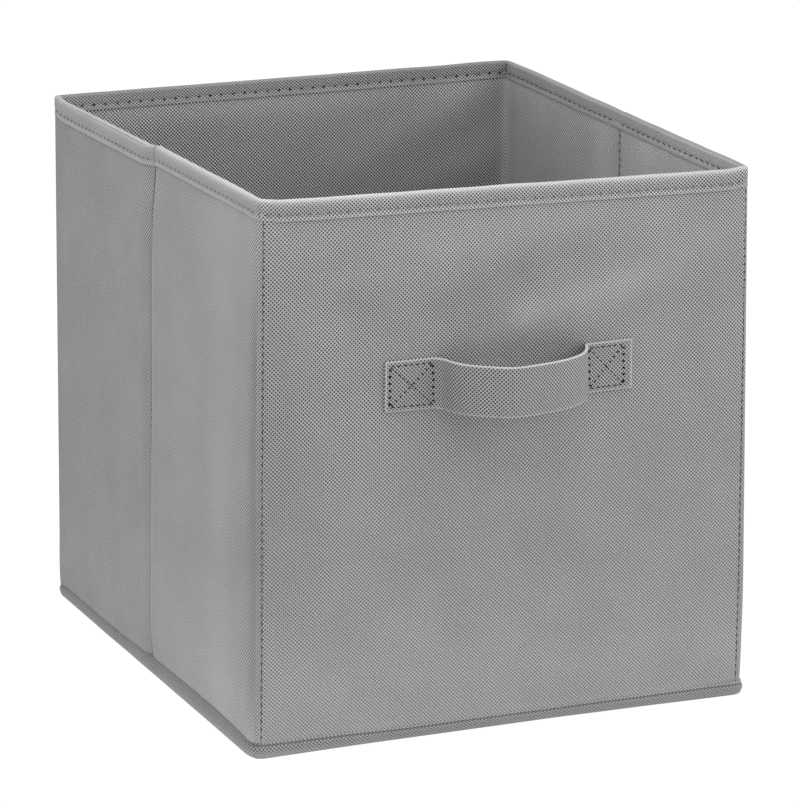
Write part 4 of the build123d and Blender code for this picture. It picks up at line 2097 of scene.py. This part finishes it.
@dataclass(frozen=True)
class Studio:
    """The camera at the photograph's angle, the soft light and the pale floor."""

    photo_height: int = 806
    focal_pixels: float = 4053.0
    sensor: float = 36.0
    place: Vector = Vector((-0.8630, -1.8275, 0.7110))
    heading: float = -25.43
    drop: float = 15.98
    roll: float = 1.31
    aim_height: float = 0.14
    world_light: float = 0.90
    floor_size: float = 12.0
    floor_tone: float = 0.86
    floor_glow: float = 1.05
    glow_share: float = 0.93

    LAMPS = (("right_softbox", (1.9, -1.7, 1.3), 1.6, 21.0), ("top_softbox", (-0.6, -0.6, 2.1), 1.8, 17.0))

    def build(self) -> None:
        """Builds the camera, the light and the floor."""
        self.add_camera()
        self.add_world()
        for lamp in self.LAMPS:
            self.add_lamp(*lamp)
        self.add_floor()

    def add_camera(self) -> None:
        """Sets the camera where it stood for the photograph."""
        heading, drop, roll = (math.radians(angle) for angle in (self.heading, self.drop, self.roll))
        back = Vector((
            math.sin(heading) * math.cos(drop), -math.cos(heading) * math.cos(drop), math.sin(drop)
        ))
        level = Vector((math.cos(heading), math.sin(heading), 0))
        upward = back.cross(level)
        right = level * math.cos(roll) + upward * math.sin(roll)
        above = upward * math.cos(roll) - level * math.sin(roll)
        data = bpy.data.cameras.new("photo_camera")
        data.sensor_width = self.sensor
        data.lens = self.focal_pixels * self.sensor / self.photo_height
        data.clip_end = 50.0
        camera = bpy.data.objects.new("photo_camera", data)
        turn = Matrix((right, above, back)).transposed().to_4x4()
        camera.matrix_world = Matrix.Translation(self.place) @ turn
        bpy.context.scene.collection.objects.link(camera)
        bpy.context.scene.camera = camera

    def seen(self, graph: Graph) -> bpy.types.NodeSocket:
        """A mask of what the camera, mirrors and glass see, apart from what gives light."""
        path = graph.node("ShaderNodeLightPath")
        glossy = graph.math("MAXIMUM", path.outputs["Is Camera Ray"], path.outputs["Is Glossy Ray"])
        return graph.math("MAXIMUM", glossy, path.outputs["Is Transmission Ray"])

    def add_world(self) -> None:
        """A white surround that gives even light."""
        world = bpy.data.worlds.new("white_studio")
        world.use_nodes = True
        graph = Graph(world.node_tree)
        shown = 1.0 - self.world_light
        strength = graph.math("MULTIPLY_ADD", self.seen(graph), shown, self.world_light)
        graph.fill(world.node_tree.nodes["Background"], Color=(1, 1, 1, 1), Strength=strength)
        bpy.context.scene.world = world

    def add_lamp(self, name: str, place: tuple[float, float, float], size: float, power: float) -> None:
        """Adds a square softbox that faces the bin."""
        data = bpy.data.lights.new(name, "AREA")
        data.energy = power
        data.size = size
        lamp = bpy.data.objects.new(name, data)
        aim = Vector((0, 0, self.aim_height)) - Vector(place)
        lamp.matrix_world = Matrix.Translation(place) @ aim.to_track_quat("-Z", "Y").to_matrix().to_4x4()
        bpy.context.scene.collection.objects.link(lamp)

    def add_floor(self) -> None:
        """A pale floor that shows nearly white and keeps a soft shadow."""
        shape = bmesh.new()
        bmesh.ops.create_grid(shape, x_segments=4, y_segments=4, size=self.floor_size / 2)
        floor = new_object("pale_floor", shape, smooth=False)
        material, graph, shader = start_material("pale_floor")
        tone = opaque((self.floor_tone,) * 3)
        graph.fill(shader, Base_Color=tone, Roughness=0.9, Specular_IOR_Level=0.0)
        glow = graph.fill(graph.node("ShaderNodeEmission"), Strength=self.floor_glow)
        both = graph.node("ShaderNodeMixShader")
        graph.feed(both.inputs[0], graph.math("MULTIPLY", self.seen(graph), self.glow_share))
        graph.feed(both.inputs[1], shader.outputs["BSDF"])
        graph.feed(both.inputs[2], glow.outputs["Emission"])
        output = material.node_tree.nodes["Material Output"]
        graph.feed(output.inputs["Surface"], both.outputs["Shader"])
        floor.data.materials.append(material)


def main() -> None:
    """Builds the bin and its studio, and logs the bin's sizes."""
    logging.basicConfig(level=logging.INFO, format="%(name)s: %(message)s")
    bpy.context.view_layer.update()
    bpy.context.scene.view_settings.view_transform = "Standard"
    sizes = BinSizes.from_frame()
    LOG.info("sizes in metres: %s", sizes)
    shape = ShellShape(sizes)
    plan = WallPlan(shape)
    workshop = Workshop(sizes)
    sewing = Sewing(shape, workshop)
    OuterCloth(shape, plan, workshop).build()
    LiningCloth(shape, plan, workshop).build()
    RimBinding(shape, plan, workshop).build()
    WallBoards(workshop).build()
    BaseSeam(shape, workshop).build()
    BaseInsert(workshop).build()
    StrapHandle(shape, workshop, sewing).build()
    sewing.build()
    Studio().build()


if __name__ == "__main__":
    main()
